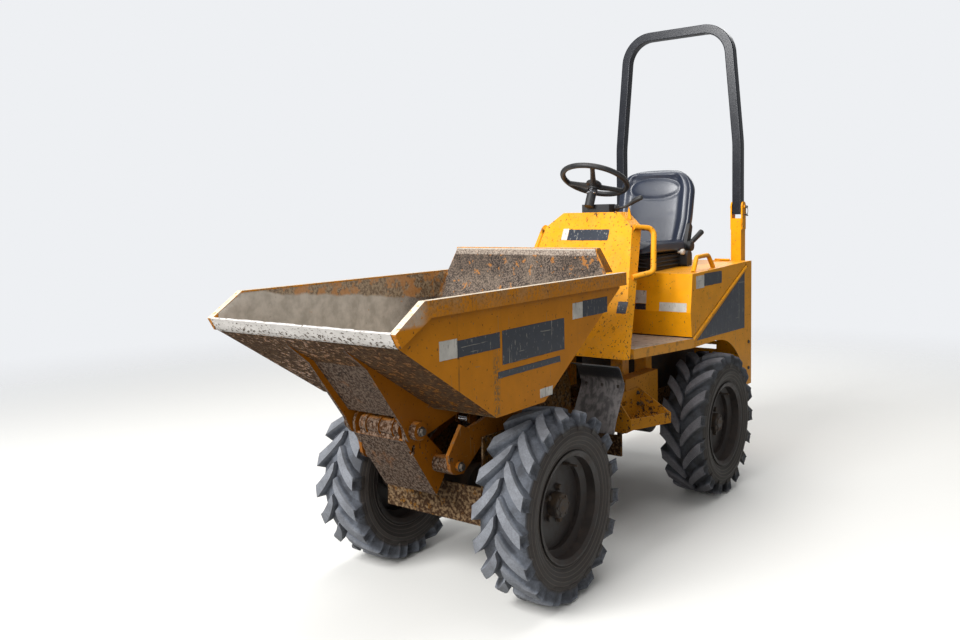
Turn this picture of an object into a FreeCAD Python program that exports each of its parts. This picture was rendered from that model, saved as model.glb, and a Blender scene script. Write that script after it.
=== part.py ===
import FreeCAD, Part
import math
import os
import re
import Sketcher

# Compact site dumper with a lifting skip, modelled as it parks.
# Frame: +Z up, the skip faces -Y, +X is the driver's left hand side as seen from the front.
# The origin lies on the ground, under the middle of the machine's length and width.
# All sizes are millimetres.

DOC = FreeCAD.newDocument("SiteDumper")
SHEET = DOC.addObject("Spreadsheet::Sheet", "Sizes")

# Each row: alias, value, what it sets.
SIZES = (
    ("fit_gap", 0.3, "gap between seated faces"),
    ("pin_gap", 0.05, "radial gap of a pin in its bore"),
    ("run_gap", 6, "gap beside pieces that move"),
    # Wheels
    ("wheel_x", 387, "wheel centre from the middle plane"),
    ("front_axle_y", -588, "front axle"),
    ("rear_axle_y", 892, "rear axle"),
    ("tyre_radius", 350, "over the lugs"),
    ("tyre_width", 216, "section width"),
    ("lug_height", 27, "lugs, from the groove to their tops"),
    ("lug_sweep", 117, "how far a lug sweeps back from the middle to the shoulder"),
    ("lug_top", 52, "lug's top, measured round the tyre"),
    ("shoulder_drop", 6, "lug's outer end below its inner end"),
    ("tyre_wall", 160, "from the lug tops down to the bead seat"),
    ("flange_height", 15, "rim flange above the bead seat"),
    ("rim_width", 190, "rim over its flanges"),
    ("rim_wall", 5, "rim sheet"),
    ("disc_x", 12, "wheel disc outboard of the wheel centre"),
    ("disc_wall", 8, "wheel disc"),
    ("hub_radius", 46, "hub spigot"),
    ("hub_flange_radius", 78, "hub flange"),
    ("axle_radius", 44, "axle tube"),
    ("diff_radius", 96, "differential housing"),
    # Skip
    ("lip_y", -1440, "front lip"),
    ("lip_z", 1080, "top of the lip"),
    ("lip_drop", 42, "folded face under the lip"),
    ("lip_back", 25, "how far the folded face leans back"),
    ("rim_front_y", -1310, "front end of the side rim"),
    ("rim_rear_y", -52, "rear end of the side rim"),
    ("rim_z", 1163, "top of the side rim"),
    ("rim_drop", 52, "height of the side rim"),
    ("rim_out", 19, "side rim stands out from the side panel"),
    ("panel_half", 410, "half width over the side panels"),
    ("skip_wall", 5, "skip sheet"),
    ("apex_y", -939, "front end of the skip's flat bottom"),
    ("bottom_rear_y", -646, "rear end of the skip's flat bottom"),
    ("bottom_z", 740, "underside of the skip"),
    ("wing_y", -76, "rear end of the side panels"),
    ("wing_z", 1100, "side panels' rear corner"),
    ("back_y", -176, "foot of the raised back"),
    ("back_bend", 300, "bend radius between floor and raised back"),
    ("head_y", -161, "top of the raised back"),
    ("head_z", 1265, "top of the raised back"),
    ("head_inset", 54, "raised back's top, in from the side panel"),
    ("head_flange", 30, "flange along the raised back"),
    # Skip brackets and nose
    ("tip_y", -1042, "skip pivot"),
    ("tip_z", 684, "skip pivot"),
    ("tip_tube_radius", 32, "skip pivot tube"),
    ("tip_collar_radius", 39, "collars on the skip pivot tube"),
    ("tip_collar", 11, "width of a collar"),
    ("tip_collar_x", 62, "outer collars from the middle"),
    ("nose_half", 122, "half width over the nose plates"),
    ("nose_plate", 12, "nose plate"),
    ("bracket_plate", 12, "skip bracket plate"),
    ("bracket_radius", 40, "eye of the skip bracket"),
    ("nose_pin_y", -905, "pin between lift arms and nose"),
    ("nose_pin_z", 538, "pin between lift arms and nose"),
    ("nose_pin_radius", 18, "pin between lift arms and nose"),
    ("nose_low_z", 422, "lower tip of the nose"),
    ("nose_low_y", -915, "lower tip of the nose"),
    # Lift arms and level links
    ("arm_half", 217, "half width over the lift arms"),
    ("arm_plate", 14, "lift arm plate"),
    ("tower_y", -250, "rear pivot of the lift arms"),
    ("tower_z", 790, "rear pivot of the lift arms"),
    ("tower_pin_radius", 20, "rear pivot pin"),
    ("arm_tube_radius", 30, "tube between the lift arms"),
    ("link_drop", 70, "level links below the arm pins"),
    ("link_half", 102, "half width over the level links"),
    ("link_plate", 14, "level link bar"),
    ("link_radius", 17, "level link half depth"),
    ("link_pin_radius", 9, "level link pin"),
    # Front frame
    ("side_half", 232, "half width over the front frame plates"),
    ("side_plate", 8, "front frame plate"),
    ("front_end_y", -790, "front end of the front frame"),
    ("frame_low_z", 290, "underside of the front frame"),
    ("bulkhead_y", -173, "rear face of the front frame"),
    ("bearing_radius", 65, "swivel bearing tube"),
    ("spindle_radius", 45, "swivel spindle"),
    ("swivel_z", 400, "axis of the swivel bearing"),
    ("bearing_rear_y", 58, "rear end of the swivel bearing"),
    ("frame_nose_z", 616, "top of the front frame's front end"),
    ("frame_notch", 62, "half length of the axle's seat"),
    ("frame_guard", 140, "height of the guard across the front end"),
    ("bulkhead_height", 450, "rear cross plate of the front frame"),
    ("mudguard_half", 432, "half width over the front mudguards"),
    ("mudguard_wall", 5, "mudguard sheet"),
    ("guard_low_y", -175, "lower end of the mudguard"),
    ("guard_low_z", 520, "lower end of the mudguard"),
    ("guard_knee_y", -157, "lower bend of the mudguard"),
    ("guard_knee_z", 567, "lower bend of the mudguard"),
    ("guard_rear_y", -77, "rearmost bend of the mudguard"),
    ("guard_rear_z", 701, "rearmost bend of the mudguard"),
    ("guard_high_y", -125, "upper bend of the mudguard"),
    ("guard_high_z", 787, "upper bend of the mudguard"),
    ("guard_front_y", -420, "front end of the mudguard"),
    ("guard_front_z", 846, "front end of the mudguard"),
    # Centre pivot
    ("pivot_y", 160, "steering pivot"),
    ("kingpin_radius", 25, "steering pivot pin"),
    ("knuckle_radius", 52, "steering knuckle"),
    ("clevis_plate", 24, "steering pivot plates"),
    ("clevis_gap", 152, "between the steering pivot plates"),
    ("steer_arm_x", -150, "steering arm pin"),
    ("steer_arm_y", 130, "steering arm pin"),
    ("steer_base_x", -185, "steering cylinder base pin"),
    ("steer_base_y", 560, "steering cylinder base pin"),
    ("steer_z", 437, "steering cylinder"),
    # Cylinders
    ("lift_base_y", -280, "lift cylinder base pin"),
    ("lift_base_z", 340, "lift cylinder base pin"),
    ("lift_eye_y", -580, "lift cylinder rod eye"),
    ("lift_eye_z", 620, "lift cylinder rod eye"),
    ("lift_barrel_radius", 38, "lift cylinder barrel"),
    ("lift_rod_radius", 18, "lift cylinder rod"),
    ("tip_base_y", -950, "tip cylinder base pin"),
    ("tip_base_z", 545, "tip cylinder base pin"),
    ("tip_eye_y", -700, "tip cylinder rod eye"),
    ("tip_eye_z", 697, "tip cylinder rod eye"),
    ("tip_barrel_radius", 32, "tip cylinder barrel"),
    ("tip_rod_radius", 16, "tip cylinder rod"),
    ("steer_barrel_radius", 26, "steering cylinder barrel"),
    ("steer_rod_radius", 13, "steering cylinder rod"),
    ("eye_half", 20, "half width of a cylinder eye"),
    ("eye_radius", 25, "cylinder eye"),
    ("lift_barrel_share", 0.88, "lift cylinder barrel, share of the length at rest"),
    ("tip_barrel_share", 0.87, "tip cylinder barrel, share of the length at rest"),
    ("steer_barrel_share", 0.6, "steering cylinder barrel, share of the length at rest"),
    ("lift_rod_start", 40, "inner end of the lift cylinder's rod"),
    ("tip_rod_start", 40, "inner end of the tip cylinder's rod"),
    ("steer_rod_start", 128, "inner end of the steering cylinder's rod"),
    ("ear_plate", 12, "cylinder ear"),
    ("ear_gap", 5, "beside a cylinder eye"),
    ("ram_pin_radius", 11, "cylinder pin"),
    # Rear frame
    ("rail_half", 238, "half width over the rails"),
    ("rail_plate", 10, "rail"),
    ("rail_low_z", 400, "underside of the rails"),
    ("rail_high_z", 540, "top of the rails"),
    ("rail_front_y", 250, "front end of the rails"),
    ("body_rear_y", 1366, "rear face of the body"),
    ("tank_width", 62, "side tank, from the rail outwards"),
    ("tank_front_y", 180, "front of the side tanks"),
    ("tank_rear_y", 500, "rear of the side tanks"),
    ("tank_high_z", 669, "top of the side tanks"),
    ("hitch_half", 45, "half width of the tow jaw"),
    ("hitch_rear_y", 1440, "rear end of the tow jaw"),
    ("hitch_pin_y", 1405, "tow pin hole"),
    ("hitch_pin_radius", 13, "tow pin hole"),
    ("hitch_plate", 12, "tow jaw plate"),
    ("hitch_low_z", 380, "underside of the tow jaw"),
    ("hitch_height", 54, "height over the tow jaw"),
    # Steps
    ("step_low_z", 475, "underside of the steps"),
    ("step_lip", 47, "height of the step's outer edge"),
    ("step_front_y", 78, "front corner of the step"),
    ("step_front_width", 77, "step's front end, from the tank outwards"),
    ("step_rear_y", 299, "rear corner of the step"),
    ("step_rear_width", 159, "step's rear end, from the tank outwards"),
    ("step_high_z", 620, "top of the step's back plate"),
    ("step_wall", 4, "step sheet"),
    ("tread_pitch", 38, "from one toothed strip of the step to the next"),
    ("tread_height", 26, "toothed strip, foot to gullet"),
    ("tooth", 9, "height of a tooth"),
    ("tooth_pitch", 15, "from one tooth to the next"),
    # Floor and console
    ("floor_top_z", 812, "top of the floor"),
    ("floor_edge", 44, "depth of the floor's edge"),
    ("floor_wall", 5, "floor sheet"),
    ("floor_rear_y", 584, "rear end of the floor"),
    ("floor_front_half", 350, "half width of the floor at the console"),
    ("floor_overhang", 10, "floor's rear end, out from the body sides"),
    ("console_low_z", 770, "lower edge of the console"),
    ("console_low_y", 112, "lower front edge of the console"),
    ("console_low_half", 330, "half width of the console's front at its foot"),
    ("console_low_depth", 25, "side strip at the foot"),
    ("console_mid_z", 1338, "console shoulders"),
    ("console_mid_y", 384, "console shoulders"),
    ("console_mid_half", 232, "half width at the shoulders"),
    ("console_mid_depth", 68, "side strip at the shoulders"),
    ("console_top_z", 1405, "top of the console"),
    ("console_top_half", 150, "half width at the top"),
    ("console_flare", 14, "side strips flare outwards"),
    ("console_wall", 4, "console sheet"),
    # Body
    ("body_half", 434, "half width over the body sides"),
    ("body_wall", 3, "body sheet"),
    ("panel_low_z", 765, "lower edge of the side panels"),
    ("panel_rear_low_z", 470, "lower edge of the rear panel"),
    ("arch_radius", 412, "wheel arch"),
    ("cover_low_y", 585, "lower front edge of the engine cover"),
    ("cover_low_z", 817, "lower front edge of the engine cover"),
    ("cover_crease_y", 570, "crease in the cover's front"),
    ("cover_crease_z", 932, "crease in the cover's front"),
    ("cover_top_y", 593, "upper front edge of the engine cover"),
    ("cover_top_z", 1111, "upper front edge of the engine cover"),
    ("cover_hinge_y", 1290, "rear edge of the engine cover"),
    ("cover_hinge_z", 1130, "rear edge of the engine cover"),
    ("cover_gap", 8, "gap along the cover's sloping edge"),
    ("bar_radius", 9, "round bar along the side panel's edge"),
    # Engine
    ("engine_front_y", 640, "front of the engine"),
    ("engine_rear_y", 1180, "rear of the engine"),
    ("engine_half", 190, "half width of the engine"),
    ("engine_low_z", 470, "sump"),
    ("engine_high_z", 1020, "top of the engine"),
    # Roll bar
    ("post_half", 376, "half width over the posts"),
    ("post_width", 56, "post"),
    ("post_depth", 63, "post"),
    ("beam_depth", 20, "cross plate between the posts, clear of the tow pin"),
    ("post_top_z", 1356, "top of the post's tube"),
    ("hoop_hinge_z", 1417, "roll bar hinge"),
    ("hoop_side", 50, "roll bar section"),
    ("hoop_top_z", 2407, "top of the roll bar"),
    ("hoop_bend_z", 1760, "where the legs lean inwards"),
    ("hoop_top_half", 318, "half width at the top corners"),
    ("hoop_bend_radius", 150, "top bends, middle line"),
    ("cheek_plate", 8, "hinge cheek"),
    # Seat
    ("seat_half", 228, "half width of the seat"),
    ("seat_front_y", 636, "front of the seat"),
    ("seat_rear_y", 1036, "rear of the seat's base"),
    ("seat_base_z", 1190, "top of the seat's base"),
    ("seat_top_z", 1262, "top of the cushion"),
    ("seat_back_half", 205, "half width of the backrest"),
    ("seat_back_top_z", 1623, "top of the backrest"),
    ("seat_back_top_y", 1190, "top of the backrest"),
    ("seat_back_depth", 82, "backrest"),
    # Controls
    ("wheel_centre_y", 457, "steering wheel centre"),
    ("wheel_centre_z", 1559, "steering wheel centre"),
    ("wheel_ring_radius", 155, "steering wheel ring, middle line"),
    ("wheel_rim_radius", 12, "steering wheel ring section"),
    ("wheel_tilt", 25, "steering wheel tilt, degrees"),
    ("column_radius", 22, "steering column"),
    ("handle_radius", 13, "hand rails"),
    ("pedal_y", 250, "front edge of the pedals' feet"),
    ("pedal_foot", 30, "pedals' feet"),
    ("drive_pedal_width", 70, "drive pedal"),
    ("drive_pedal_reach", 105, "drive pedal"),
    ("brake_pedal_width", 80, "brake pedal"),
    ("brake_pedal_reach", 90, "brake pedal"),
)

for row, (alias, value, note) in enumerate(SIZES, start=1):
    SHEET.set(f"A{row}", str(value))
    SHEET.setAlias(f"A{row}", alias)
    SHEET.set(f"B{row}", note)
DOC.recompute()

ALIASES = {alias for alias, value, note in SIZES}
WORD = re.compile(r"[a-z_]+")

SIDE_VIEW = FreeCAD.Rotation(FreeCAD.Vector(1, 1, 1), 120)
FRONT_VIEW = FreeCAD.Rotation(FreeCAD.Vector(1, 0, 0), 90)
TOP_VIEW = FreeCAD.Rotation()
# View name: sketch rotation, axis the outline is extruded along, name of that axis.
VIEWS = {
    "side": (SIDE_VIEW, FreeCAD.Vector(1, 0, 0), "x"),
    "front": (FRONT_VIEW, FreeCAD.Vector(0, 1, 0), "y"),
    "top": (TOP_VIEW, FreeCAD.Vector(0, 0, 1), "z"),
}
# Turns a cylinder, which FreeCAD makes along Z, onto another axis.
ALONG = {
    "x": FreeCAD.Rotation(FreeCAD.Vector(0, 1, 0), 90),
    "y": FreeCAD.Rotation(FreeCAD.Vector(1, 0, 0), -90),
    "z": FreeCAD.Rotation(),
}
NODES = {}


def ref(formula):
    """A formula in bare aliases, as an expression that reads the sheet."""
    return WORD.sub(lambda word: f"Sizes.{word[0]}" if word[0] in ALIASES else word[0], str(formula))


def num(formula):
    """The present value of a formula."""
    value = SHEET.evalExpression(ref(formula))
    return float(getattr(value, "Value", value))


def bind(piece, prop, formula):
    """Tie a property to the sheet."""
    piece.setExpression(prop, ref(formula))


def put(piece, at, rotation=None):
    """Bind a piece's place to the sheet."""
    if rotation is not None:
        piece.Placement = FreeCAD.Placement(FreeCAD.Vector(), rotation)
    for axis, formula in zip("xyz", at):
        bind(piece, f"Placement.Base.{axis}", formula)
    return piece


def block(name, low, size):
    """A box from its low corner."""
    piece = DOC.addObject("Part::Box", name)
    for prop, formula in zip(("Length", "Width", "Height"), size):
        bind(piece, prop, formula)
    return put(piece, low)


def rod(name, axis, at, radius, length):
    """A round bar along an axis, from the middle of its first end."""
    piece = DOC.addObject("Part::Cylinder", name)
    bind(piece, "Radius", radius)
    bind(piece, "Height", length)
    return put(piece, at, ALONG[axis])


def corner_arc(before, corner, after, radius):
    """Where a rounded corner starts and ends, its centre, and whether it turns left."""
    back = (before - corner).normalize()
    ahead = (after - corner).normalize()
    half = math.acos(max(-1.0, min(1.0, back.dot(ahead)))) / 2
    reach = radius / math.tan(half)
    centre = corner + (back + ahead).normalize() * (radius / math.sin(half))
    left = (corner - before).cross(after - corner).z > 0
    return corner + back * reach, corner + ahead * reach, centre, left


def outline(name, view, points, closed=True):
    """A sketch through points (across, up, optional bend radius), every one tied to the sheet."""
    sketch = DOC.addObject("Sketcher::SketchObject", name)
    count = len(points)
    spots = [FreeCAD.Vector(num(point[0]), num(point[1]), 0) for point in points]
    bends = {}
    for i, point in enumerate(points):
        if len(point) > 2:
            bends[i] = corner_arc(spots[i - 1], spots[i], spots[(i + 1) % count], num(point[2]))
    lines = []
    for i in range(count if closed else count - 1):
        j = (i + 1) % count
        start = bends[i][1] if i in bends else spots[i]
        end = bends[j][0] if j in bends else spots[j]
        lines.append(sketch.addGeometry(Part.LineSegment(start, end), False))

    def hold(kind, geometry, position, formula, value):
        number = sketch.addConstraint(Sketcher.Constraint(kind, -1, 1, geometry, position, value))
        bind(sketch, f"Constraints[{number}]", formula)

    for i, point in enumerate(points):
        if i in bends:
            start, end, centre, left = bends[i]
            first, last = (start, end) if left else (end, start)
            angles = [math.atan2(spot.y - centre.y, spot.x - centre.x) for spot in (first, last)]
            circle = Part.Circle(centre, FreeCAD.Vector(0, 0, 1), num(point[2]))
            arc = sketch.addGeometry(Part.ArcOfCircle(circle, *angles), False)
            ends = (1, 2) if left else (2, 1)
            sketch.addConstraint(Sketcher.Constraint("Tangent", lines[i - 1], 2, arc, ends[0]))
            sketch.addConstraint(Sketcher.Constraint("Tangent", lines[i], 1, arc, ends[1]))
            number = sketch.addConstraint(Sketcher.Constraint("Radius", arc, num(point[2])))
            bind(sketch, f"Constraints[{number}]", point[2])
            geometry, position = sketch.addGeometry(Part.Point(spots[i]), True), 1
            for line in (lines[i - 1], lines[i]):
                sketch.addConstraint(Sketcher.Constraint("PointOnObject", geometry, 1, line))
        elif closed or i < count - 1:
            geometry, position = lines[i], 1
            if closed or i > 0:
                sketch.addConstraint(Sketcher.Constraint("Coincident", lines[i - 1], 2, geometry, 1))
        else:
            geometry, position = lines[i - 1], 2
        hold("DistanceX", geometry, position, point[0], spots[i].x)
        hold("DistanceY", geometry, position, point[1], spots[i].y)
    sketch.Placement = FreeCAD.Placement(FreeCAD.Vector(), VIEWS[view][0])
    return sketch


def extrude(name, base, view, low, thick):
    """Extrude a sketch or a sheet outline along its view's axis, from low."""
    piece = DOC.addObject("Part::Extrusion", name)
    piece.Base = base
    piece.DirMode = "Custom"
    piece.Dir = VIEWS[view][1]
    piece.Solid = True
    bind(piece, "LengthFwd", thick)
    bind(piece, f"Placement.Base.{VIEWS[view][2]}", low)
    return piece


def slab(name, view, points, low, thick):
    """A flat plate of any outline."""
    return extrude(name, outline(f"{name}_outline", view, points), view, low, thick)


def folded(name, view, path, wall, low, length):
    """Folded sheet: an open path with its wall to the left of travel, then extruded."""
    spots = [FreeCAD.Vector(num(point[0]), num(point[1]), 0) for point in path]
    runs = [(after - before).normalize() for before, after in zip(spots, spots[1:])]
    far_side = []
    for i, point in enumerate(path):
        before, after = runs[max(i - 1, 0)], runs[min(i, len(runs) - 1)]
        left_before = FreeCAD.Vector(-before.y, before.x, 0)
        left_after = FreeCAD.Vector(-after.y, after.x, 0)
        mitre = (left_before + left_after) / (1 + left_before.dot(left_after))
        corner = [f"{point[0]}+({mitre.x:.6f})*{wall}", f"{point[1]}+({mitre.y:.6f})*{wall}"]
        if len(point) > 2:
            sign = "-" if before.cross(after).z > 0 else "+"
            corner.append(f"{point[2]}{sign}{wall}")
        far_side.append(tuple(corner))
    return slab(name, view, (*path, *reversed(far_side)), low, length)


def fuse(name, pieces):
    """One solid out of touching pieces."""
    piece = DOC.addObject("Part::MultiFuse", name)
    piece.Shapes = list(pieces)
    return piece


def cut(name, base, *tools):
    """A piece with one or more others cut out of it."""
    piece = DOC.addObject("Part::Cut", name)
    piece.Base = base
    piece.Tool = tools[0] if len(tools) == 1 else fuse(f"{name}_tools", tools)
    return piece


def mirror(name, source):
    """The same piece on the other side of the machine."""
    piece = DOC.addObject("Part::Mirroring", name)
    piece.Source = source
    piece.Normal = FreeCAD.Vector(1, 0, 0)
    return piece


def group(name, pieces):
    """Several pieces kept apart in one shape."""
    piece = DOC.addObject("Part::Compound", name)
    piece.Links = list(pieces)
    return piece


def both(name, source):
    """A piece and its mirror image, kept apart."""
    return group(name, (source, mirror(f"{name}_mirror", source)))


def pair(name, source):
    """A piece and its mirror image, to be fused into something."""
    return source, mirror(f"{name}_mirror", source)


def loft(name, sections):
    """A ruled solid through outlines drawn on the top view, each (height, points)."""
    rings = []
    for number, (height, points) in enumerate(sections):
        ring = outline(f"{name}_ring_{number}", "top", points)
        bind(ring, "Placement.Base.z", height)
        rings.append(ring)
    piece = DOC.addObject("Part::Loft", name)
    piece.Sections = rings
    piece.Solid = True
    piece.Ruled = True
    return piece


def revolve(name, points):
    """A body of revolution about the X axis, from an outline of (x, radius)."""
    piece = DOC.addObject("Part::Revolution", name)
    piece.Source = outline(f"{name}_outline", "top", points)
    piece.Axis = FreeCAD.Vector(1, 0, 0)
    piece.Base = FreeCAD.Vector()
    piece.Angle = 360
    piece.Solid = True
    return piece


def node(name, piece):
    """Name a finished sub-part."""
    piece.Label = name
    NODES[name] = piece
    return piece


# Wheels

AXLE_Z = "tyre_radius"
BEAD_RADIUS = "(tyre_radius-tyre_wall)"
FLANGE_RADIUS = f"({BEAD_RADIUS}+flange_height)"
HALF_TYRE = "tyre_width/2"
FLANGE_WALL = "8"
BEAD_X = f"(rim_width/2-{FLANGE_WALL}-fit_gap)"


LUGS = 17
SLOTS = 2 * LUGS
SLOT_ANGLE = 2 * math.pi / SLOTS
# Rows of the tread from the middle to the shoulder:
# distance from the middle, share of the sweep, radius of the groove, radius of the lug's top.
TREAD_ROWS = (
    ("0", 0.0, "tyre_radius-lug_height", "tyre_radius"),
    (f"{HALF_TYRE}-73", 0.42, "tyre_radius-lug_height-2", "tyre_radius-shoulder_drop/6"),
    (f"{HALF_TYRE}-38", 0.77, "tyre_radius-lug_height-7", "tyre_radius-shoulder_drop/2"),
    (f"{HALF_TYRE}-7", 1.0, "tyre_radius-lug_height-19", "tyre_radius-shoulder_drop"),
)
LUG_NOSE = 3
# Rows of the sidewall down to the bead: distance from the middle, radius.
SIDE_ROWS = (
    (HALF_TYRE, f"({BEAD_RADIUS}+tyre_radius)/2"),
    (BEAD_X, f"{FLANGE_RADIUS}+2"),
    (BEAD_X, BEAD_RADIUS),
)


def round_spot(across, radius, slot):
    """A point on the tyre: distance from the middle, radius, and place round it in half pitches."""
    angle = slot * SLOT_ANGLE - math.pi / 2
    return FreeCAD.Vector(across, radius * math.cos(angle), radius * math.sin(angle))


def tyre_side(side, lean):
    """Facets of one half of a tyre, and its bead's ring. Lugs fill every other half pitch."""
    facets = []

    def quad(first, second, third, fourth):
        facets.append((first, second, third))
        facets.append((first, third, fourth))

    slot_length = num("tyre_radius") * SLOT_ANGLE
    flank = (slot_length - num("lug_top")) / 2 / slot_length
    flat = math.cos(SLOT_ANGLE * (0.5 - flank))
    first_slot = -0.5 if side > 0 else 0.5
    feet, tops = [], []
    for across, sweep, groove, top in TREAD_ROWS:
        shift = first_slot + lean * sweep * num("lug_sweep") / slot_length
        x = side * num(across)
        top_x = x or side * LUG_NOSE
        feet.append([round_spot(x, num(groove), shift + slot) for slot in range(SLOTS)])
        tops.append([
            (round_spot(top_x, num(top) / flat, shift + slot + flank),
             round_spot(top_x, num(top) / flat, shift + slot + 1 - flank))
            for slot in range(0, SLOTS, 2)
        ])
    for lug in range(LUGS):
        start, stop, far = 2 * lug, 2 * lug + 1, (2 * lug + 2) % SLOTS
        quad(feet[0][start], tops[0][lug][0], tops[0][lug][1], feet[0][stop])
        for near in range(len(TREAD_ROWS) - 1):
            low, high = feet[near], feet[near + 1]
            (a, b), (c, d) = tops[near][lug], tops[near + 1][lug]
            quad(low[start], high[start], c, a)
            quad(a, c, d, b)
            quad(b, d, high[stop], low[stop])
            quad(low[stop], high[stop], high[far], low[far])
        quad(feet[-1][start], feet[-1][stop], tops[-1][lug][1], tops[-1][lug][0])
    ring = feet[-1]
    shift = first_slot + lean * num("lug_sweep") / slot_length
    for across, radius in SIDE_ROWS:
        reach = num(radius) / math.cos(SLOT_ANGLE / 2)
        row = [round_spot(side * num(across), reach, shift + slot) for slot in range(SLOTS)]
        for slot in range(SLOTS):
            after = (slot + 1) % SLOTS
            quad(ring[slot], row[slot], row[after], ring[after])
        ring = row
    return facets, ring


def tyre(name, lean):
    """Tractor-pattern tyre on its own centre, its axle along X. Lean is the way its lugs sweep back."""
    left, left_bead = tyre_side(1, lean)
    right, right_bead = tyre_side(-1, lean)
    facets = left + right
    # The right half starts one half pitch after the left one.
    for slot in range(SLOTS):
        after = (slot + 1) % SLOTS
        facets.append((left_bead[slot], left_bead[after], right_bead[slot]))
        facets.append((left_bead[slot], right_bead[slot], right_bead[slot - 1]))
    faces = [Part.Face(Part.makePolygon([*facet, facet[0]])) for facet in facets]
    shell = Part.makeShell(faces)
    shell.sewShape()
    solid = Part.Solid(shell)
    if solid.Volume < 0:
        solid.reverse()
    piece = DOC.addObject("Part::Feature", name)
    piece.Shape = solid
    return piece


def rim(name):
    """Dropped-centre rim with its disc and hub hole, on its own centre."""
    half, seat = "rim_width/2", f"{BEAD_RADIUS}-fit_gap"
    barrel = revolve(f"{name}_barrel", (
        (f"0-{half}", FLANGE_RADIUS),
        (f"0-{half}", f"{FLANGE_RADIUS}-rim_wall"),
        (f"0-{half}+8", f"{seat}-rim_wall"),
        (f"0-{half}+45", f"{seat}-rim_wall"),
        (f"0-{half}+58", f"{seat}-24-rim_wall"),
        (f"{half}-58", f"{seat}-24-rim_wall"),
        (f"{half}-45", f"{seat}-rim_wall"),
        (f"{half}-8", f"{seat}-rim_wall"),
        (half, f"{FLANGE_RADIUS}-rim_wall"),
        (half, FLANGE_RADIUS),
        (f"{half}-3", FLANGE_RADIUS),
        (f"{half}-8", seat),
        (f"{half}-45", seat),
        (f"{half}-58", f"{seat}-24"),
        (f"0-{half}+58", f"{seat}-24"),
        (f"0-{half}+45", seat),
        (f"0-{half}+8", seat),
        (f"0-{half}+3", FLANGE_RADIUS),
    ))
    disc = revolve(f"{name}_disc", (
        ("disc_x", "hub_radius+pin_gap"),
        ("disc_x+disc_wall", "hub_radius+pin_gap"),
        ("disc_x+disc_wall", f"{seat}-24-rim_wall+1"),
        ("disc_x", f"{seat}-24-rim_wall+1"),
    ))
    return fuse(name, (barrel, disc))


RIM = rim("rim_master")
RIMS = {1: RIM, -1: mirror("rim_right", RIM)}
# The front tyres are fitted the other way round from the rear ones.
AXLE_ENDS = (
    ("front", "front_axle_y", tyre("tyre_front_master", 1)),
    ("rear", "rear_axle_y", tyre("tyre_rear_master", -1)),
)
for end, axle_y, tyre_master in AXLE_ENDS:
    tyres = {1: tyre_master, -1: mirror(f"tyre_{end}_right_master", tyre_master)}
    for place, side in (("left", 1), ("right", -1)):
        for kind, masters in (("tyre", tyres), ("rim", RIMS)):
            piece = group(f"{kind}_{end}_{place}", (masters[side],))
            put(piece, (f"{side}*wheel_x", axle_y, AXLE_Z))
            node(f"{kind}_{end}_{place}", piece)


def axle(name, axle_y, pad_top, pad_half):
    """Beam axle: tube, differential, hub flanges and spring-less mounting pads."""
    reach = "wheel_x+disc_x"
    pieces = [
        rod(f"{name}_tube", "x", (f"0-({reach})+20", axle_y, AXLE_Z), "axle_radius", f"2*({reach})-40"),
        rod(f"{name}_diff", "x", ("0-75", axle_y, AXLE_Z), "diff_radius", "150"),
    ]
    flange = rod(f"{name}_flange", "x", (f"{reach}-fit_gap-20", axle_y, AXLE_Z), "hub_flange_radius", "20")
    spigot = rod(f"{name}_spigot", "x", (f"{reach}-fit_gap-20", axle_y, AXLE_Z), "hub_radius", "60")
    pad = block(f"{name}_pad", (f"{pad_half}-60", f"{axle_y}-45", AXLE_Z), ("60", "90", f"{pad_top}-fit_gap-tyre_radius"))
    for part in (flange, spigot, pad):
        pieces.extend(pair(part.Name, part))
    return node(name, fuse(f"{name}_body", pieces))


axle("front_axle", "front_axle_y", "swivel_z", "side_half")
axle("rear_axle", "rear_axle_y", "rail_low_z", "rail_half")


# Skip

SKIP_SLOPE = "((wing_z-bottom_z)/(wing_y-bottom_rear_y))"
HEAD_HALF = "(panel_half-head_inset)"
floor_sheet = folded("skip_floor", "side", (
    ("lip_y+lip_back", "lip_z-lip_drop"),
    ("apex_y", "bottom_z"),
    ("bottom_rear_y", "bottom_z", "120"),
    ("back_y", f"bottom_z+{SKIP_SLOPE}*(back_y-bottom_rear_y)", "back_bend"),
    ("head_y", "head_z"),
), "skip_wall", "0-panel_half+skip_wall", "2*(panel_half-skip_wall)")
side_panel = slab("skip_side", "side", (
    ("lip_y", "lip_z"),
    ("lip_y+lip_back", "lip_z-lip_drop"),
    ("apex_y", "bottom_z"),
    ("bottom_rear_y", "bottom_z"),
    ("wing_y", "wing_z"),
    ("wing_y", "rim_z-skip_wall"),
    ("rim_front_y", "rim_z-skip_wall"),
), "panel_half-skip_wall", "skip_wall")
lip_face = slab("skip_lip", "side", (
    ("lip_y", "lip_z"),
    ("lip_y+lip_back", "lip_z-lip_drop"),
    ("lip_y+lip_back+12", "lip_z-lip_drop+4"),
    ("lip_y+14", "lip_z"),
), "0-panel_half", "2*panel_half")
rim_side = slab("skip_rim", "side", (
    ("lip_y", "lip_z"),
    ("lip_y+lip_back", "lip_z-lip_drop"),
    ("rim_front_y+30", "rim_z-rim_drop"),
    ("rim_rear_y", "rim_z-rim_drop"),
    ("rim_rear_y", "rim_z"),
    ("rim_front_y", "rim_z"),
), "panel_half-skip_wall", "rim_out+skip_wall")
rim_hollow = slab("skip_rim_hollow", "side", (
    ("rim_front_y+50", "rim_z-rim_drop-10"),
    ("rim_rear_y+10", "rim_z-rim_drop-10"),
    ("rim_rear_y+10", "rim_z-skip_wall"),
    ("rim_front_y+30", "rim_z-skip_wall"),
), "panel_half", "rim_out-skip_wall")
rim_piece = cut("skip_rim_channel", rim_side, rim_hollow)
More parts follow.
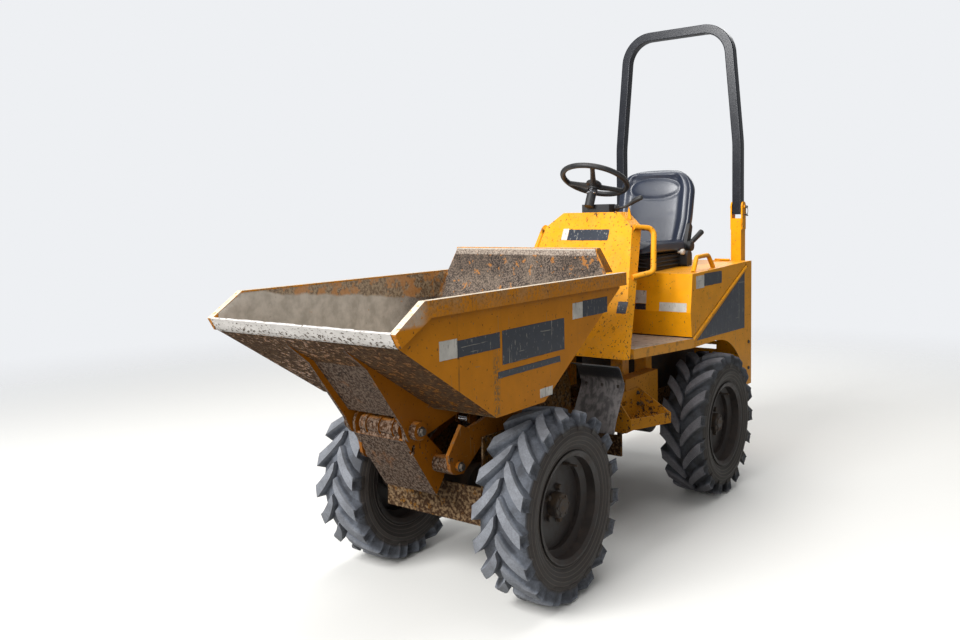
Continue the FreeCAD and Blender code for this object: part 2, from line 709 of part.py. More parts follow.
head_cut_tool = slab("skip_head_cut", "front", (
    ("panel_half-8", "rim_z-2"),
    ("panel_half+60", "rim_z-2"),
    ("panel_half+60", "head_z+30"),
    (f"{HEAD_HALF}-8", "head_z+30"),
    (f"{HEAD_HALF}-8", "head_z"),
), "back_y-60", "160")
floor_trimmed = cut("skip_floor_trimmed", floor_sheet, *pair("skip_head_cut", head_cut_tool))
head_flange_top = block("skip_head_flange", (f"0-{HEAD_HALF}", "head_y-2", "head_z-4"), (f"2*{HEAD_HALF}", "head_flange", "4"))
gusset = slab("skip_gusset", "side", (
    ("back_y", "rim_z-2"),
    ("rim_rear_y+20", "rim_z-2"),
    ("head_y+head_flange-4", "head_z"),
    ("head_y-2", "head_z"),
), f"{HEAD_HALF}-skip_wall", "skip_wall")
skip_pieces = [floor_trimmed, lip_face, head_flange_top]
for part in (side_panel, rim_piece, gusset):
    skip_pieces.extend(pair(part.Name, part))
node("skip_shell", fuse("skip_body", skip_pieces))

BRACKET_HALF = "nose_half+run_gap+bracket_plate"
CHUTE_SLOPE = "((lip_z-lip_drop-bottom_z)/(lip_y+lip_back-apex_y))"
bracket = slab("bracket_plate_body", "side", (
    ("lip_y+lip_back+60", f"bottom_z+{CHUTE_SLOPE}*(lip_y+lip_back+60-apex_y)-fit_gap"),
    ("tip_y-220", "tip_z+242"),
    ("tip_y-62", "tip_z+26"),
    ("tip_y-30", "tip_z-bracket_radius", "bracket_radius*0.8"),
    ("tip_y+40", "tip_z-bracket_radius+6", "bracket_radius*0.8"),
    ("tip_y+257", "tip_z+19"),
    ("tip_y+336", "bottom_z-fit_gap"),
    ("apex_y", "bottom_z-fit_gap"),
), "nose_half+run_gap", "bracket_plate")
bracket_boss = rod("bracket_boss", "x", (BRACKET_HALF, "tip_y", "tip_z"), "bracket_radius-8", "26")
skip_pin = rod("skip_pin", "x", ("nose_half-nose_plate", "tip_y", "tip_z"), "nose_pin_radius", f"{BRACKET_HALF}+30-nose_half+nose_plate")
CHUTE = f"(bottom_z+{CHUTE_SLOPE}*(tip_y-198-apex_y)-fit_gap)"
cross_plate = slab("bracket_cross", "side", (
    ("tip_y-46", "tip_z+50"),
    ("tip_y-198", CHUTE),
    ("tip_y-189", f"{CHUTE}+{CHUTE_SLOPE}*9"),
    ("tip_y-38", "tip_z+50"),
), f"0-({BRACKET_HALF})", f"2*({BRACKET_HALF})")
ear_low = "eye_half+ear_gap"


def ears(name, points):
    """Two ears beside a cylinder's eye, on the side view."""
    return list(pair(name, slab(name, "side", points, ear_low, "ear_plate")))


tip_ears = ears("tip_ear", (
    ("tip_eye_y-34", "bottom_z-fit_gap"),
    ("tip_eye_y-26", "tip_eye_z-24", "20"),
    ("tip_eye_y+26", "tip_eye_z-24", "20"),
    ("tip_eye_y+34", "bottom_z-fit_gap"),
))
tip_pad = block("tip_pad", (ear_low, "tip_eye_y-42", "bottom_z-fit_gap-5"), ("ear_plate+14", "84", "5"))
bracket_body = fuse("bracket_body", [*pair("bracket_plate", bracket), *pair("bracket_boss", bracket_boss), *pair("skip_pin", skip_pin), cross_plate])
tip_lugs = fuse("tip_lugs", (*tip_ears, *pair("tip_pad", tip_pad)))
node("skip_brackets", group("skip_brackets_all", (bracket_body, tip_lugs)))


# Nose: the frame on the lift arms that carries the skip

LINK_Y = "nose_pin_y"
LINK_Z = "(nose_pin_z-link_drop)"
nose_side = slab("nose_side", "side", (
    ("nose_low_y", "nose_low_z"),
    ("tip_y-30", "tip_z-34"),
    ("tip_y-38", "tip_z+38", "36"),
    ("tip_y+38", "tip_z+38", "36"),
    ("tip_y+86", "tip_z-41"),
    ("nose_pin_y+33", "nose_pin_z+25", "12"),
    ("nose_pin_y+33", "nose_pin_z-62", "12"),
), "nose_half-nose_plate", "nose_plate")
nose_bush = rod("nose_bush", "x", ("nose_half", "nose_pin_y", "nose_pin_z"), "nose_pin_radius+14", "arm_half-arm_plate-nose_half-2")
nose_bore = rod("nose_bore", "x", ("nose_half-nose_plate-2", "nose_pin_y", "nose_pin_z"), "nose_pin_radius+pin_gap", "arm_half-nose_half+nose_plate")
tip_bore = rod("tip_bore", "x", ("nose_half-nose_plate-2", "tip_y", "tip_z"), "nose_pin_radius+pin_gap", "nose_plate+4")
nose_slot = slab("nose_slot", "side", (
    ("tip_y-8", "tip_z-98", "7"),
    ("tip_y+8", "tip_z-98", "7"),
    ("tip_y+22", "tip_z-56", "7"),
    ("tip_y+6", "tip_z-56", "7"),
), "nose_half-nose_plate-2", "nose_plate+4")
nose_plate_done = cut("nose_plate_done", fuse("nose_side_bush", (nose_side, nose_bush)), nose_bore, tip_bore, nose_slot)
nose_tube = rod("nose_tube", "x", ("0-nose_half+nose_plate+18", "tip_y", "tip_z"), "tip_tube_radius", "2*(nose_half-nose_plate-18)")
nose_cover = slab("nose_cover", "side", (
    ("tip_y-30", "tip_z-34"),
    ("nose_low_y", "nose_low_z"),
    ("nose_low_y+7", "nose_low_z+5"),
    ("tip_y-23", "tip_z-29"),
), "0-nose_half+nose_plate", "2*(nose_half-nose_plate)")
nose_web = slab("nose_web", "side", (
    ("tip_y-29", "tip_z-33"),
    ("tip_y-21", "tip_z-34"),
    ("tip_y+4", "tip_z-8"),
    ("tip_y-14", "tip_z+6"),
), "0-nose_half+nose_plate+18", "2*(nose_half-nose_plate-18)")
nose_ears = ears("nose_ear", (
    ("tip_base_y-55", "tip_base_z+16"),
    ("tip_base_y+12", "tip_base_z+20", "14"),
    ("tip_base_y+20", "tip_base_z-20", "14"),
    ("tip_base_y-22", "tip_base_z-34"),
))
nose_ram_pin = rod("nose_ram_pin", "x", (f"0-({ear_low})-ear_plate-4", "tip_base_y", "tip_base_z"), "ram_pin_radius", f"2*({ear_low}+ear_plate)+8")
link_pin = rod("link_pin", "x", ("link_half-link_plate-6", LINK_Y, LINK_Z), "link_pin_radius-0.5", "nose_half-nose_plate-link_half+link_plate+6")
collars = [
    rod(f"tip_collar_{name}", "x", (f"{x}-tip_collar/2", "tip_y", "tip_z"), "tip_collar_radius", "tip_collar")
    for name, x in (("left", "tip_collar_x"), ("middle", "0"), ("right", "0-tip_collar_x"))
]
nose_pieces = [nose_tube, nose_cover, nose_web, nose_ram_pin, *nose_ears, *collars]
for part in (nose_plate_done, link_pin):
    nose_pieces.extend(pair(part.Name, part))
node("nose_frame", fuse("nose_body", nose_pieces))


# Lift arms

arm = slab("arm_plate_body", "side", (
    ("nose_pin_y-40", "nose_pin_z-24", "38"),
    ("nose_pin_y-52", "nose_pin_z+50"),
    ("nose_pin_y+22", "nose_pin_z+142"),
    ("nose_pin_y+57", "nose_pin_z+122"),
    ("nose_pin_y+265", "nose_pin_z+157"),
    ("tower_y-80", "tower_z+48"),
    ("tower_y+20", "tower_z+50", "46"),
    ("tower_y+52", "tower_z-20", "46"),
    ("tower_y-10", "tower_z-50", "46"),
    ("nose_pin_y+250", "nose_pin_z+66"),
    ("nose_pin_y+143", "nose_pin_z+50"),
    ("nose_pin_y+26", "nose_pin_z-32"),
), "arm_half-arm_plate", "arm_plate")
arm_pin = rod("arm_pin", "x", ("nose_half-nose_plate", "nose_pin_y", "nose_pin_z"), "nose_pin_radius", "arm_half+10-nose_half+nose_plate")
arm_tube = rod("arm_tube", "x", ("0-arm_half+arm_plate", "tower_y", "tower_z"), "arm_tube_radius", "2*(arm_half-arm_plate)")
arm_cross = rod("arm_cross", "x", ("0-arm_half+arm_plate", "lift_eye_y-5", "lift_eye_z+55"), "22", "2*(arm_half-arm_plate)")
arm_ears = ears("arm_ear", (
    ("lift_eye_y-24", "lift_eye_z+50"),
    ("lift_eye_y-24", "lift_eye_z-24", "20"),
    ("lift_eye_y+24", "lift_eye_z-24", "20"),
    ("lift_eye_y+14", "lift_eye_z+50"),
))
arm_pieces = [arm_tube, arm_cross, *arm_ears]
for part in (arm, arm_pin):
    arm_pieces.extend(pair(part.Name, part))
tower_bore = rod("tower_bore", "x", ("0-arm_half-5", "tower_y", "tower_z"), "tower_pin_radius+pin_gap", "2*arm_half+10")
node("lift_arms", cut("lift_arms_body", fuse("lift_arms_solid", arm_pieces), tower_bore))


def tilted(name, pieces, base_y, base_z, far_y, far_z):
    """Pieces built along Z from a pin, turned to point at a second pin on the side view."""
    piece = fuse(name, pieces) if len(pieces) > 1 else group(name, pieces)
    piece.Placement = FreeCAD.Placement(FreeCAD.Vector(), FreeCAD.Rotation(FreeCAD.Vector(1, 0, 0), 1))
    bind(piece, "Placement.Base.y", base_y)
    bind(piece, "Placement.Base.z", base_z)
    bind(piece, "Placement.Rotation.Angle", f"atan2(({base_y})-({far_y}); ({far_z})-({base_z}))")
    return piece


def span(base_y, base_z, far_y, far_z):
    """Distance between two pins on the side view."""
    return f"sqrt((({far_y})-({base_y}))^2+(({far_z})-({base_z}))^2)"


LINK_FAR = (LINK_Y, LINK_Z)
LINK_BASE = (f"(tower_y+{LINK_Y}-nose_pin_y)", f"(tower_z+{LINK_Z}-nose_pin_z)")
link_length = span(*LINK_BASE, *LINK_FAR)
link_bar = slab("link_bar", "side", (
    ("0-link_radius", "0-link_radius", "link_radius*0.98"),
    ("link_radius", "0-link_radius", "link_radius*0.98"),
    ("link_radius", f"{link_length}+link_radius", "link_radius*0.98"),
    ("0-link_radius", f"{link_length}+link_radius", "link_radius*0.98"),
), "link_half-link_plate", "link_plate")
link_holes = [
    rod("link_hole_rear", "x", ("link_half-link_plate-2", "0", "0"), "link_pin_radius+pin_gap", "link_plate+4"),
    rod("link_hole_front", "x", ("link_half-link_plate-2", "0", link_length), "link_pin_radius+0.5", "link_plate+4"),
]
link_one = cut("link_one", link_bar, *link_holes)
node("level_links", tilted("level_links_body", (both("level_links_pair", link_one),), *LINK_BASE, *LINK_FAR))


# Front frame

front_side = slab("front_side", "side", (
    ("front_end_y", "frame_low_z"),
    ("front_end_y+11", "frame_nose_z"),
    ("front_axle_y+frame_notch+26", "frame_nose_z-6"),
    ("tower_y-90", "tower_z+46", "40"),
    ("tower_y+20", "tower_z+56", "50"),
    ("tower_y+77", "tower_z-80", "60"),
    ("bulkhead_y", "frame_low_z"),
    ("front_axle_y+frame_notch", "frame_low_z"),
    ("front_axle_y+frame_notch", "swivel_z"),
    ("front_axle_y-frame_notch", "swivel_z"),
    ("front_axle_y-frame_notch", "frame_low_z"),
), "side_half-side_plate", "side_plate")
INNER = "(side_half-side_plate)"
guard = slab("front_guard", "side", (
    ("front_end_y", "frame_low_z"),
    ("front_end_y+8", "frame_low_z"),
    ("front_end_y+8", "frame_low_z+frame_guard"),
    ("front_end_y", "frame_low_z+frame_guard"),
), f"0-{INNER}", f"2*{INNER}")
belly = block("front_belly", (f"0-{INNER}", "front_axle_y+2*frame_notch-4", "frame_low_z"), (f"2*{INNER}", "bulkhead_y-front_axle_y-2*frame_notch+4", "8"))
bulkhead = block("front_bulkhead", (f"0-{INNER}", "bulkhead_y-12", "frame_low_z"), (f"2*{INNER}", "12", "bulkhead_height"))
bearing = rod("bearing", "y", ("0", "bulkhead_y-4", "swivel_z"), "bearing_radius", "bearing_rear_y-bulkhead_y+4")
bearing_bore = rod("bearing_bore", "y", ("0", "bulkhead_y-20", "swivel_z"), "spindle_radius+pin_gap", "bearing_rear_y-bulkhead_y+40")
tower_pin = rod("tower_pin", "x", ("arm_half-arm_plate-6", "tower_y", "tower_z"), "tower_pin_radius", "side_half-arm_half+arm_plate+5")
lift_base_ears = ears("lift_base_ear", (
    ("lift_base_y-30", "frame_low_z+4"),
    ("lift_base_y-24", "lift_base_z+24", "20"),
    ("lift_base_y+24", "lift_base_z+24", "20"),
    ("lift_base_y+50", "frame_low_z+4"),
))
lift_base_pin = rod("lift_base_pin", "x", (f"0-({ear_low})-ear_plate", "lift_base_y", "lift_base_z"), "ram_pin_radius", f"2*({ear_low}+ear_plate)")
link_ear_points = (
    ("bulkhead_y-8", f"{LINK_BASE[1]}-26"),
    ("bulkhead_y-8", f"{LINK_BASE[1]}+24"),
    (f"{LINK_BASE[0]}-22", f"{LINK_BASE[1]}+24", "20"),
    (f"{LINK_BASE[0]}-22", f"{LINK_BASE[1]}-26", "20"),
)
link_ear_out = slab("link_ear_out", "side", link_ear_points, "link_half+4", "8")
link_ear_in = slab("link_ear_in", "side", link_ear_points, "link_half-link_plate-12", "8")
link_base_pin = rod("link_base_pin", "x", ("link_half-link_plate-12", *LINK_BASE), "link_pin_radius", "link_plate+24")
front_pieces = [guard, belly, bulkhead, bearing, lift_base_pin, *lift_base_ears]
for part in (front_side, tower_pin, link_ear_out, link_ear_in, link_base_pin):
    front_pieces.extend(pair(part.Name, part))
node("front_frame", cut("front_frame_body", fuse("front_frame_solid", front_pieces), bearing_bore))

mudguard = folded("mudguard", "side", (
    ("guard_low_y", "guard_low_z"),
    ("guard_knee_y", "guard_knee_z", "24*mudguard_wall"),
    ("guard_rear_y", "guard_rear_z", "8*mudguard_wall"),
    ("guard_high_y", "guard_high_z", "8*mudguard_wall"),
    ("guard_front_y", "guard_front_z"),
), "mudguard_wall", "side_half+fit_gap", "mudguard_half-side_half")
node("mudguards", both("mudguards_pair", mudguard))


# Centre pivot

CLEVIS_LOW = "(swivel_z-clevis_gap/2)"
knuckle = rod("knuckle", "z", ("0", "pivot_y", f"{CLEVIS_LOW}+fit_gap"), "knuckle_radius", "clevis_gap-2*fit_gap")
spindle = rod("spindle", "y", ("0", "bulkhead_y-10", "swivel_z"), "spindle_radius", "pivot_y-bulkhead_y+10")
collar = rod("collar", "y", ("0", "bearing_rear_y+fit_gap", "swivel_z"), "bearing_radius-3", "24")
ARM_LOW = "(eye_half+ear_gap)"
steer_points = (
    ("0-20", "pivot_y-44"),
    ("0-20", "pivot_y+20"),
    ("steer_arm_x-10", "steer_arm_y+26", "18"),
    ("steer_arm_x-26", "steer_arm_y-22", "18"),
)
steer_plates = [
    slab("steer_arm_high", "top", steer_points, f"steer_z+{ARM_LOW}", "10"),
    slab("steer_arm_low", "top", steer_points, f"steer_z-{ARM_LOW}-10", "10"),
]
kingpin_bore = rod("kingpin_bore", "z", ("0", "pivot_y", f"{CLEVIS_LOW}-10"), "kingpin_radius+pin_gap", "clevis_gap+20")
node("centre_pivot", cut("centre_pivot_body", fuse("centre_pivot_solid", (knuckle, spindle, collar, *steer_plates)), kingpin_bore))


# Cylinders

def barrel_and_rod(name, pins):
    """A cylinder along Z from its base eye: barrel and rod."""
    length = span(*pins)
    radius, rod_radius = f"{name}_barrel_radius", f"{name}_rod_radius"
    barrel_end = f"{length}*{name}_barrel_share"
    shell_start = "(eye_radius+8)"
    parts = (
        rod(f"{name}_base_eye", "x", ("0-eye_half", "0", "0"), "eye_radius", "2*eye_half"),
        rod(f"{name}_neck", "z", ("0", "0", "ram_pin_radius+4"), "eye_half-3", f"{shell_start}-ram_pin_radius"),
        rod(f"{name}_shell", "z", ("0", "0", shell_start), radius, f"{barrel_end}-{shell_start}"),
        rod(f"{name}_gland", "z", ("0", "0", f"{barrel_end}-14"), f"{radius}+3", "14"),
    )
    bores = (
        rod(f"{name}_pin_bore", "x", ("0-eye_half-2", "0", "0"), "ram_pin_radius+pin_gap", "2*eye_half+4"),
        rod(f"{name}_rod_bore", "z", ("0", "0", f"{shell_start}+4"), f"{rod_radius}+pin_gap", barrel_end),
    )
    stem = rod(f"{name}_stem", "z", ("0", "0", f"{name}_rod_start"), rod_radius, f"{length}-{name}_rod_start-10")
    far_eye = rod(f"{name}_far_eye", "x", ("0-eye_half", "0", length), "eye_radius-3", "2*eye_half")
    barrel = cut(f"{name}_barrel_done", fuse(f"{name}_barrel_solid", parts), *bores)
    return barrel, fuse(f"{name}_rod_done", (stem, far_eye))


RAMS = (
    ("lift", "lift_base_y", "lift_base_z", "lift_eye_y", "lift_eye_z"),
    ("tip", "tip_base_y", "tip_base_z", "tip_eye_y", "tip_eye_z"),
)
for name, *pins in RAMS:
    barrel, stem = barrel_and_rod(name, pins)
    node(f"{name}_cylinder", tilted(f"{name}_cylinder_placed", (barrel,), *pins))
    node(f"{name}_rod", tilted(f"{name}_rod_placed", (stem,), *pins))

steer_pins = ("steer_base_x", "steer_base_y", "steer_arm_x", "steer_arm_y")
barrel, stem = barrel_and_rod("steer", steer_pins)
LAID_DOWN = FreeCAD.Rotation(FreeCAD.Vector(0, 0, 1), FreeCAD.Vector(0, -1, 0), FreeCAD.Vector(1, 0, 0))
for kind, solid in (("cylinder", barrel), ("rod", stem)):
    # Laid down first, so that its eyes turn on upright pins, then turned in the top view.
    flat = group(f"steer_{kind}_flat", (solid,))
    flat.Placement = FreeCAD.Placement(FreeCAD.Vector(), LAID_DOWN)
    turned = group(f"steer_{kind}_placed", (flat,))
    turned.Placement = FreeCAD.Placement(FreeCAD.Vector(), FreeCAD.Rotation(FreeCAD.Vector(0, 0, 1), 1))
    bind(turned, "Placement.Rotation.Angle", "atan2(steer_arm_y-steer_base_y; steer_arm_x-steer_base_x)")
    for axis, formula in zip("xyz", ("steer_base_x", "steer_base_y", "steer_z")):
        bind(turned, f"Placement.Base.{axis}", formula)
    node(f"steer_{kind}", turned)


# Rear frame

RAIL_HEIGHT = "(rail_high_z-rail_low_z)"
RAIL_INNER = "(rail_half-rail_plate)"
rail = block("rail", (RAIL_INNER, "rail_front_y", "rail_low_z"), ("rail_plate", "body_rear_y-body_wall-fit_gap-rail_front_y", RAIL_HEIGHT))
bulk = slab("rear_bulkhead", "front", (
    ("0-rail_half", f"{CLEVIS_LOW}-clevis_plate"),
    ("rail_half", f"{CLEVIS_LOW}-clevis_plate"),
    ("rail_half", "rail_high_z"),
    ("0-rail_half", "rail_high_z"),
), "rail_front_y", "12")
window = block("rear_window", (f"{RAIL_INNER}-118", "rail_front_y-5", "steer_z-42"), ("108", "22", "84"))
bulk_done = cut("rear_bulkhead_done", bulk, *pair("rear_window", window))
clevis_points = (
    ("0-knuckle_radius", "pivot_y-knuckle_radius", "knuckle_radius*0.95"),
    ("knuckle_radius", "pivot_y-knuckle_radius", "knuckle_radius*0.95"),
    ("rail_half-60", "rail_front_y+4"),
    ("0-rail_half+60", "rail_front_y+4"),
)
clevis_low = slab("clevis_low", "top", clevis_points, f"{CLEVIS_LOW}-clevis_plate", "clevis_plate")
clevis_high = slab("clevis_high", "top", clevis_points, "swivel_z+clevis_gap/2", "clevis_plate")
kingpin = rod("kingpin", "z", ("0", "pivot_y", f"{CLEVIS_LOW}-clevis_plate-6"), "kingpin_radius", "clevis_gap+2*clevis_plate+12")
cross_bars = [
    block(f"cross_bar_{name}", (f"0-{RAIL_INNER}", y, "rail_low_z"), (f"2*{RAIL_INNER}", "50", "engine_low_z-fit_gap-rail_low_z"))
    for name, y in (("front", "engine_front_y+20"), ("rear", "engine_rear_y-70"))
]
rear_plate = block("rear_plate", ("0-rail_half", "body_rear_y-16", "hitch_low_z"), ("2*rail_half", "16", "panel_rear_low_z-fit_gap-hitch_low_z"))
steer_lug_points = (
    (f"0-{RAIL_INNER}-4", "steer_base_y-18"),
    ("steer_base_x+22", "steer_base_y-20", "16"),
    ("steer_base_x+22", "steer_base_y+22", "16"),
    (f"0-{RAIL_INNER}-4", "steer_base_y+44"),
)
steer_lugs = [
    slab("steer_lug_high", "top", steer_lug_points, f"steer_z+{ARM_LOW}", "10"),
    slab("steer_lug_low", "top", steer_lug_points, f"steer_z-{ARM_LOW}-10", "10"),
]
steer_base_pin = rod("steer_base_pin", "z", ("steer_base_x", "steer_base_y", f"steer_z-{ARM_LOW}-14"), "ram_pin_radius", f"2*{ARM_LOW}+28")
jaw_points = (
    ("0-hitch_half", "body_rear_y-8"),
    ("hitch_half", "body_rear_y-8"),
    ("hitch_half", "hitch_rear_y", "20"),
    ("0-hitch_half", "hitch_rear_y", "20"),
)
jaws = [
    slab("jaw_low", "top", jaw_points, "hitch_low_z", "hitch_plate"),
    slab("jaw_high", "top", jaw_points, "hitch_low_z+hitch_height-hitch_plate", "hitch_plate"),
]
jaw_hole = rod("jaw_hole", "z", ("0", "hitch_pin_y", "hitch_low_z-5"), "hitch_pin_radius", "hitch_height+10")
rear_pieces = [bulk_done, clevis_low, clevis_high, kingpin, *cross_bars, rear_plate, *steer_lugs, steer_base_pin, *jaws, *pair("rail", rail)]
node("rear_frame", cut("rear_frame_body", fuse("rear_frame_solid", rear_pieces), jaw_hole))

TANK_HALF = "(rail_half+tank_width)"
tank = block("tank", ("rail_half+fit_gap", "tank_front_y", "rail_low_z+30"), ("tank_width-fit_gap", "tank_rear_y-tank_front_y", "tank_high_z-rail_low_z-30"))
node("side_tanks", both("side_tanks_pair", tank))

# Steps

STEP_IN = f"({TANK_HALF}+fit_gap)"
STEP_FRONT = f"({TANK_HALF}+step_front_width)"
STEP_REAR = f"({TANK_HALF}+step_rear_width)"
STEP_SPREAD = "((step_rear_width-step_front_width)/(step_rear_y-step_front_y))"
step_tray = slab("step_tray", "top", (
    (STEP_IN, "step_front_y"),
    (STEP_FRONT, "step_front_y"),
    (STEP_REAR, "step_rear_y"),
    (STEP_IN, "step_rear_y"),
), "step_low_z", "step_lip")
step_hollow = slab("step_hollow", "top", (
    (f"{STEP_IN}+step_wall", "step_front_y+step_wall"),
    (f"{STEP_FRONT}-step_wall", "step_front_y+step_wall"),
    (f"{STEP_REAR}-step_wall", "step_rear_y-step_wall"),
    (f"{STEP_IN}+step_wall", "step_rear_y-step_wall"),
), "step_low_z+step_wall", "step_lip+10")
step_body = cut("step_body", step_tray, step_hollow)
step_back = block("step_back", (STEP_IN, "step_front_y", "step_low_z"), ("step_wall", "step_rear_y-step_front_y", "step_high_z-step_low_z"))
step_slot = slab("step_slot", "side", (
    ("step_front_y+62", "step_high_z-62", "9"),
    ("step_front_y+150", "step_high_z-62", "9"),
    ("step_front_y+150", "step_high_z-42", "9"),
    ("step_front_y+62", "step_high_z-42", "9"),
), f"{STEP_IN}-1", "step_wall+2")
step_back_done = cut("step_back_done", step_back, step_slot)
step_ends = [
    slab(f"step_end_{name}", "front", (
        (STEP_IN, "step_low_z+2"),
        (f"{half}-2", "step_low_z+2"),
        (f"{half}-2", "step_low_z+step_lip"),
        (STEP_IN, "step_high_z"),
    ), low, "step_wall")
    for name, half, low in (("front", STEP_FRONT, "step_front_y"), ("rear", STEP_REAR, "step_rear_y-step_wall"))
]


def toothed_strip(number):
    """A strip across the step whose top edge is cut into teeth, from the back plate to the lip."""
    place = f"(step_front_y+{number}*tread_pitch)"
    low, gullet = "(step_low_z+step_wall-1)", "(step_low_z+step_wall+tread_height)"
    first, last = f"({STEP_IN}+step_wall-1)", f"({STEP_FRONT}+{STEP_SPREAD}*({place}-step_front_y)-step_wall)"
    teeth = int((num(last) - num(first)) / num("tooth_pitch"))
    edge = []
    for tooth in range(teeth):
        edge.append((f"{first}+{tooth}*tooth_pitch", gullet))
        edge.append((f"{first}+({tooth}+0.5)*tooth_pitch", f"{gullet}+tooth"))
    outer = (f"{first}+{teeth}*tooth_pitch", gullet)
    points = ((last, low), (last, gullet), outer, *reversed(edge), (first, low))
    return slab(f"tread_strip_{number}", "front", points, place, "3")


TREAD_STRIPS = 5
strips = [toothed_strip(number) for number in range(1, TREAD_STRIPS + 1)]
node("steps", both("steps_pair", fuse("step_one", (step_body, step_back_done, *step_ends, *strips))))

# Floor

FLOOR_REAR_HALF = "(body_half+floor_overhang)"
floor_outline = (
    ("0-console_low_half+14", "console_low_y+29"),
    ("console_low_half-14", "console_low_y+29"),
    ("console_low_half-14", "console_low_y+50"),
    ("floor_front_half", "console_low_y+50"),
    (FLOOR_REAR_HALF, "floor_rear_y"),
    (f"0-{FLOOR_REAR_HALF}", "floor_rear_y"),
    ("0-floor_front_half", "console_low_y+50"),
    ("0-console_low_half+14", "console_low_y+50"),
)
floor_solid = slab("floor_solid", "top", floor_outline, "floor_top_z-floor_edge", "floor_edge")
floor_hollow = slab("floor_hollow", "top", (
    ("0-console_low_half+14+floor_wall", "console_low_y+29+floor_wall"),
    ("console_low_half-14-floor_wall", "console_low_y+29+floor_wall"),
    ("console_low_half-14-floor_wall", "console_low_y+50+floor_wall"),
    ("floor_front_half-floor_wall", "console_low_y+50+floor_wall"),
    (f"{FLOOR_REAR_HALF}-floor_wall", "floor_rear_y-floor_wall"),
    (f"0-{FLOOR_REAR_HALF}+floor_wall", "floor_rear_y-floor_wall"),
    ("0-floor_front_half+floor_wall", "console_low_y+50+floor_wall"),
    ("0-console_low_half+14+floor_wall", "console_low_y+50+floor_wall"),
), "floor_top_z-floor_edge-5", "floor_edge+5-floor_wall")
floor_feet = block("floor_foot", ("rail_half-60", "rail_front_y+20", "rail_high_z+fit_gap"), ("60", "60", "floor_top_z-floor_wall-rail_high_z-fit_gap+1"))
floor_feet_rear = block("floor_foot_rear", ("rail_half-60", "floor_rear_y-80", "rail_high_z+fit_gap"), ("60", "60", "floor_top_z-floor_wall-rail_high_z-fit_gap+1"))
node("floor_plate", fuse("floor_body", [cut("floor_pan", floor_solid, floor_hollow), *pair("floor_foot", floor_feet), *pair("floor_foot_rear", floor_feet_rear)]))

# Console


def console_ring(half, front, depth, inset, tail):
    """Section of the console: front edge, side strips that flare out, inset for the inside."""
    return (
        (f"0-({half})+{inset}", f"{front}+{inset}"),
        (f"{half}-{inset}", f"{front}+{inset}"),
        (f"{half}+console_flare-{inset}", f"{front}+{depth}+{tail}"),
        (f"0-({half})-console_flare+{inset}", f"{front}+{depth}+{tail}"),
    )


LOW_RING = ("console_low_half", "console_low_y", "console_low_depth")
MID_RING = ("console_mid_half", "console_mid_y", "console_mid_depth")
TOP_RING = ("console_top_half", "console_mid_y+32", "console_mid_depth")
console_lower = loft("console_lower", (
    ("console_low_z", console_ring(*LOW_RING, "0", "0")),
    ("console_mid_z", console_ring(*MID_RING, "0", "0")),
))
console_upper = loft("console_upper", (
    ("console_mid_z", console_ring(*MID_RING, "0", "0")),
    ("console_top_z", console_ring(*TOP_RING, "0", "0")),
))
console_inner_lower = loft("console_inner_lower", (
    ("console_low_z-1", console_ring(*LOW_RING, "console_wall", "30")),
    ("console_mid_z", console_ring(*MID_RING, "console_wall", "30")),
))
console_inner_upper = loft("console_inner_upper", (
    ("console_mid_z", console_ring(*MID_RING, "console_wall", "30")),
    ("console_top_z-console_wall", console_ring(*TOP_RING, "console_wall", "30")),
))
console_solid = fuse("console_solid", (console_lower, console_upper))
console_shell = cut("console_shell", console_solid, fuse("console_inside", (console_inner_lower, console_inner_upper)))
dash_slab = slab("dash_slab", "side", (
    ("console_mid_y-70", "console_mid_z-190"),
    ("console_mid_y+console_mid_depth+10", "console_mid_z+8"),
    ("console_mid_y+console_mid_depth+7", "console_mid_z+12"),
    ("console_mid_y-73", "console_mid_z-186"),
), "0-console_low_half", "2*console_low_half")
dash = DOC.addObject("Part::MultiCommon", "dash")
dash.Shapes = [dash_slab, console_solid]
console_foot = slab("console_foot", "side", (
    ("console_low_y+21.5", "floor_top_z+fit_gap"),
    ("console_low_y+60", "floor_top_z+fit_gap"),
    ("console_low_y+60", "floor_top_z+fit_gap+console_wall"),
    ("console_low_y+23.5", "floor_top_z+fit_gap+console_wall"),
), "0-console_low_half+24", "2*(console_low_half-24)")
console_hook = slab("console_hook", "front", (
    ("console_top_half+34", "console_mid_z+8"),
    ("console_top_half+60", "console_mid_z-8"),
    ("console_top_half+46", "console_mid_z+72"),
    ("console_top_half+40", "console_mid_z+90"),
    ("console_top_half+36", "console_mid_z+72"),
), "console_mid_y+50", "6")


def rail_path(name, points, radius):
    """A round tube bent along points, in a plane or not, with a bend radius at each inner point."""
    tube = DOC.addObject("Part::Feature", name)
    spots = [FreeCAD.Vector(*(num(value) for value in point)) for point in points]
    bend = num("handle_radius") * 2.4
    edges = []
    start = spots[0]
    for before, corner, after in zip(spots, spots[1:], spots[2:]):
        back, ahead = (before - corner).normalize(), (after - corner).normalize()
        half = math.acos(back.dot(ahead)) / 2
        reach = bend / math.tan(half)
        centre = corner + (back + ahead).normalize() * (bend / math.sin(half))
        middle = centre + (corner - centre).normalize() * bend
        first, last = corner + back * reach, corner + ahead * reach
        edges.append(Part.LineSegment(start, first).toShape())
        edges.append(Part.Arc(first, middle, last).toShape())
        start = last
    edges.append(Part.LineSegment(start, spots[-1]).toShape())
    wire = Part.Wire(edges)
    circle = Part.Circle(spots[0], (spots[1] - spots[0]).normalize(), num(radius))
    profile = Part.Wire([circle.toShape()])
    tube.Shape = wire.makePipeShell([profile], True, False)
    return tube


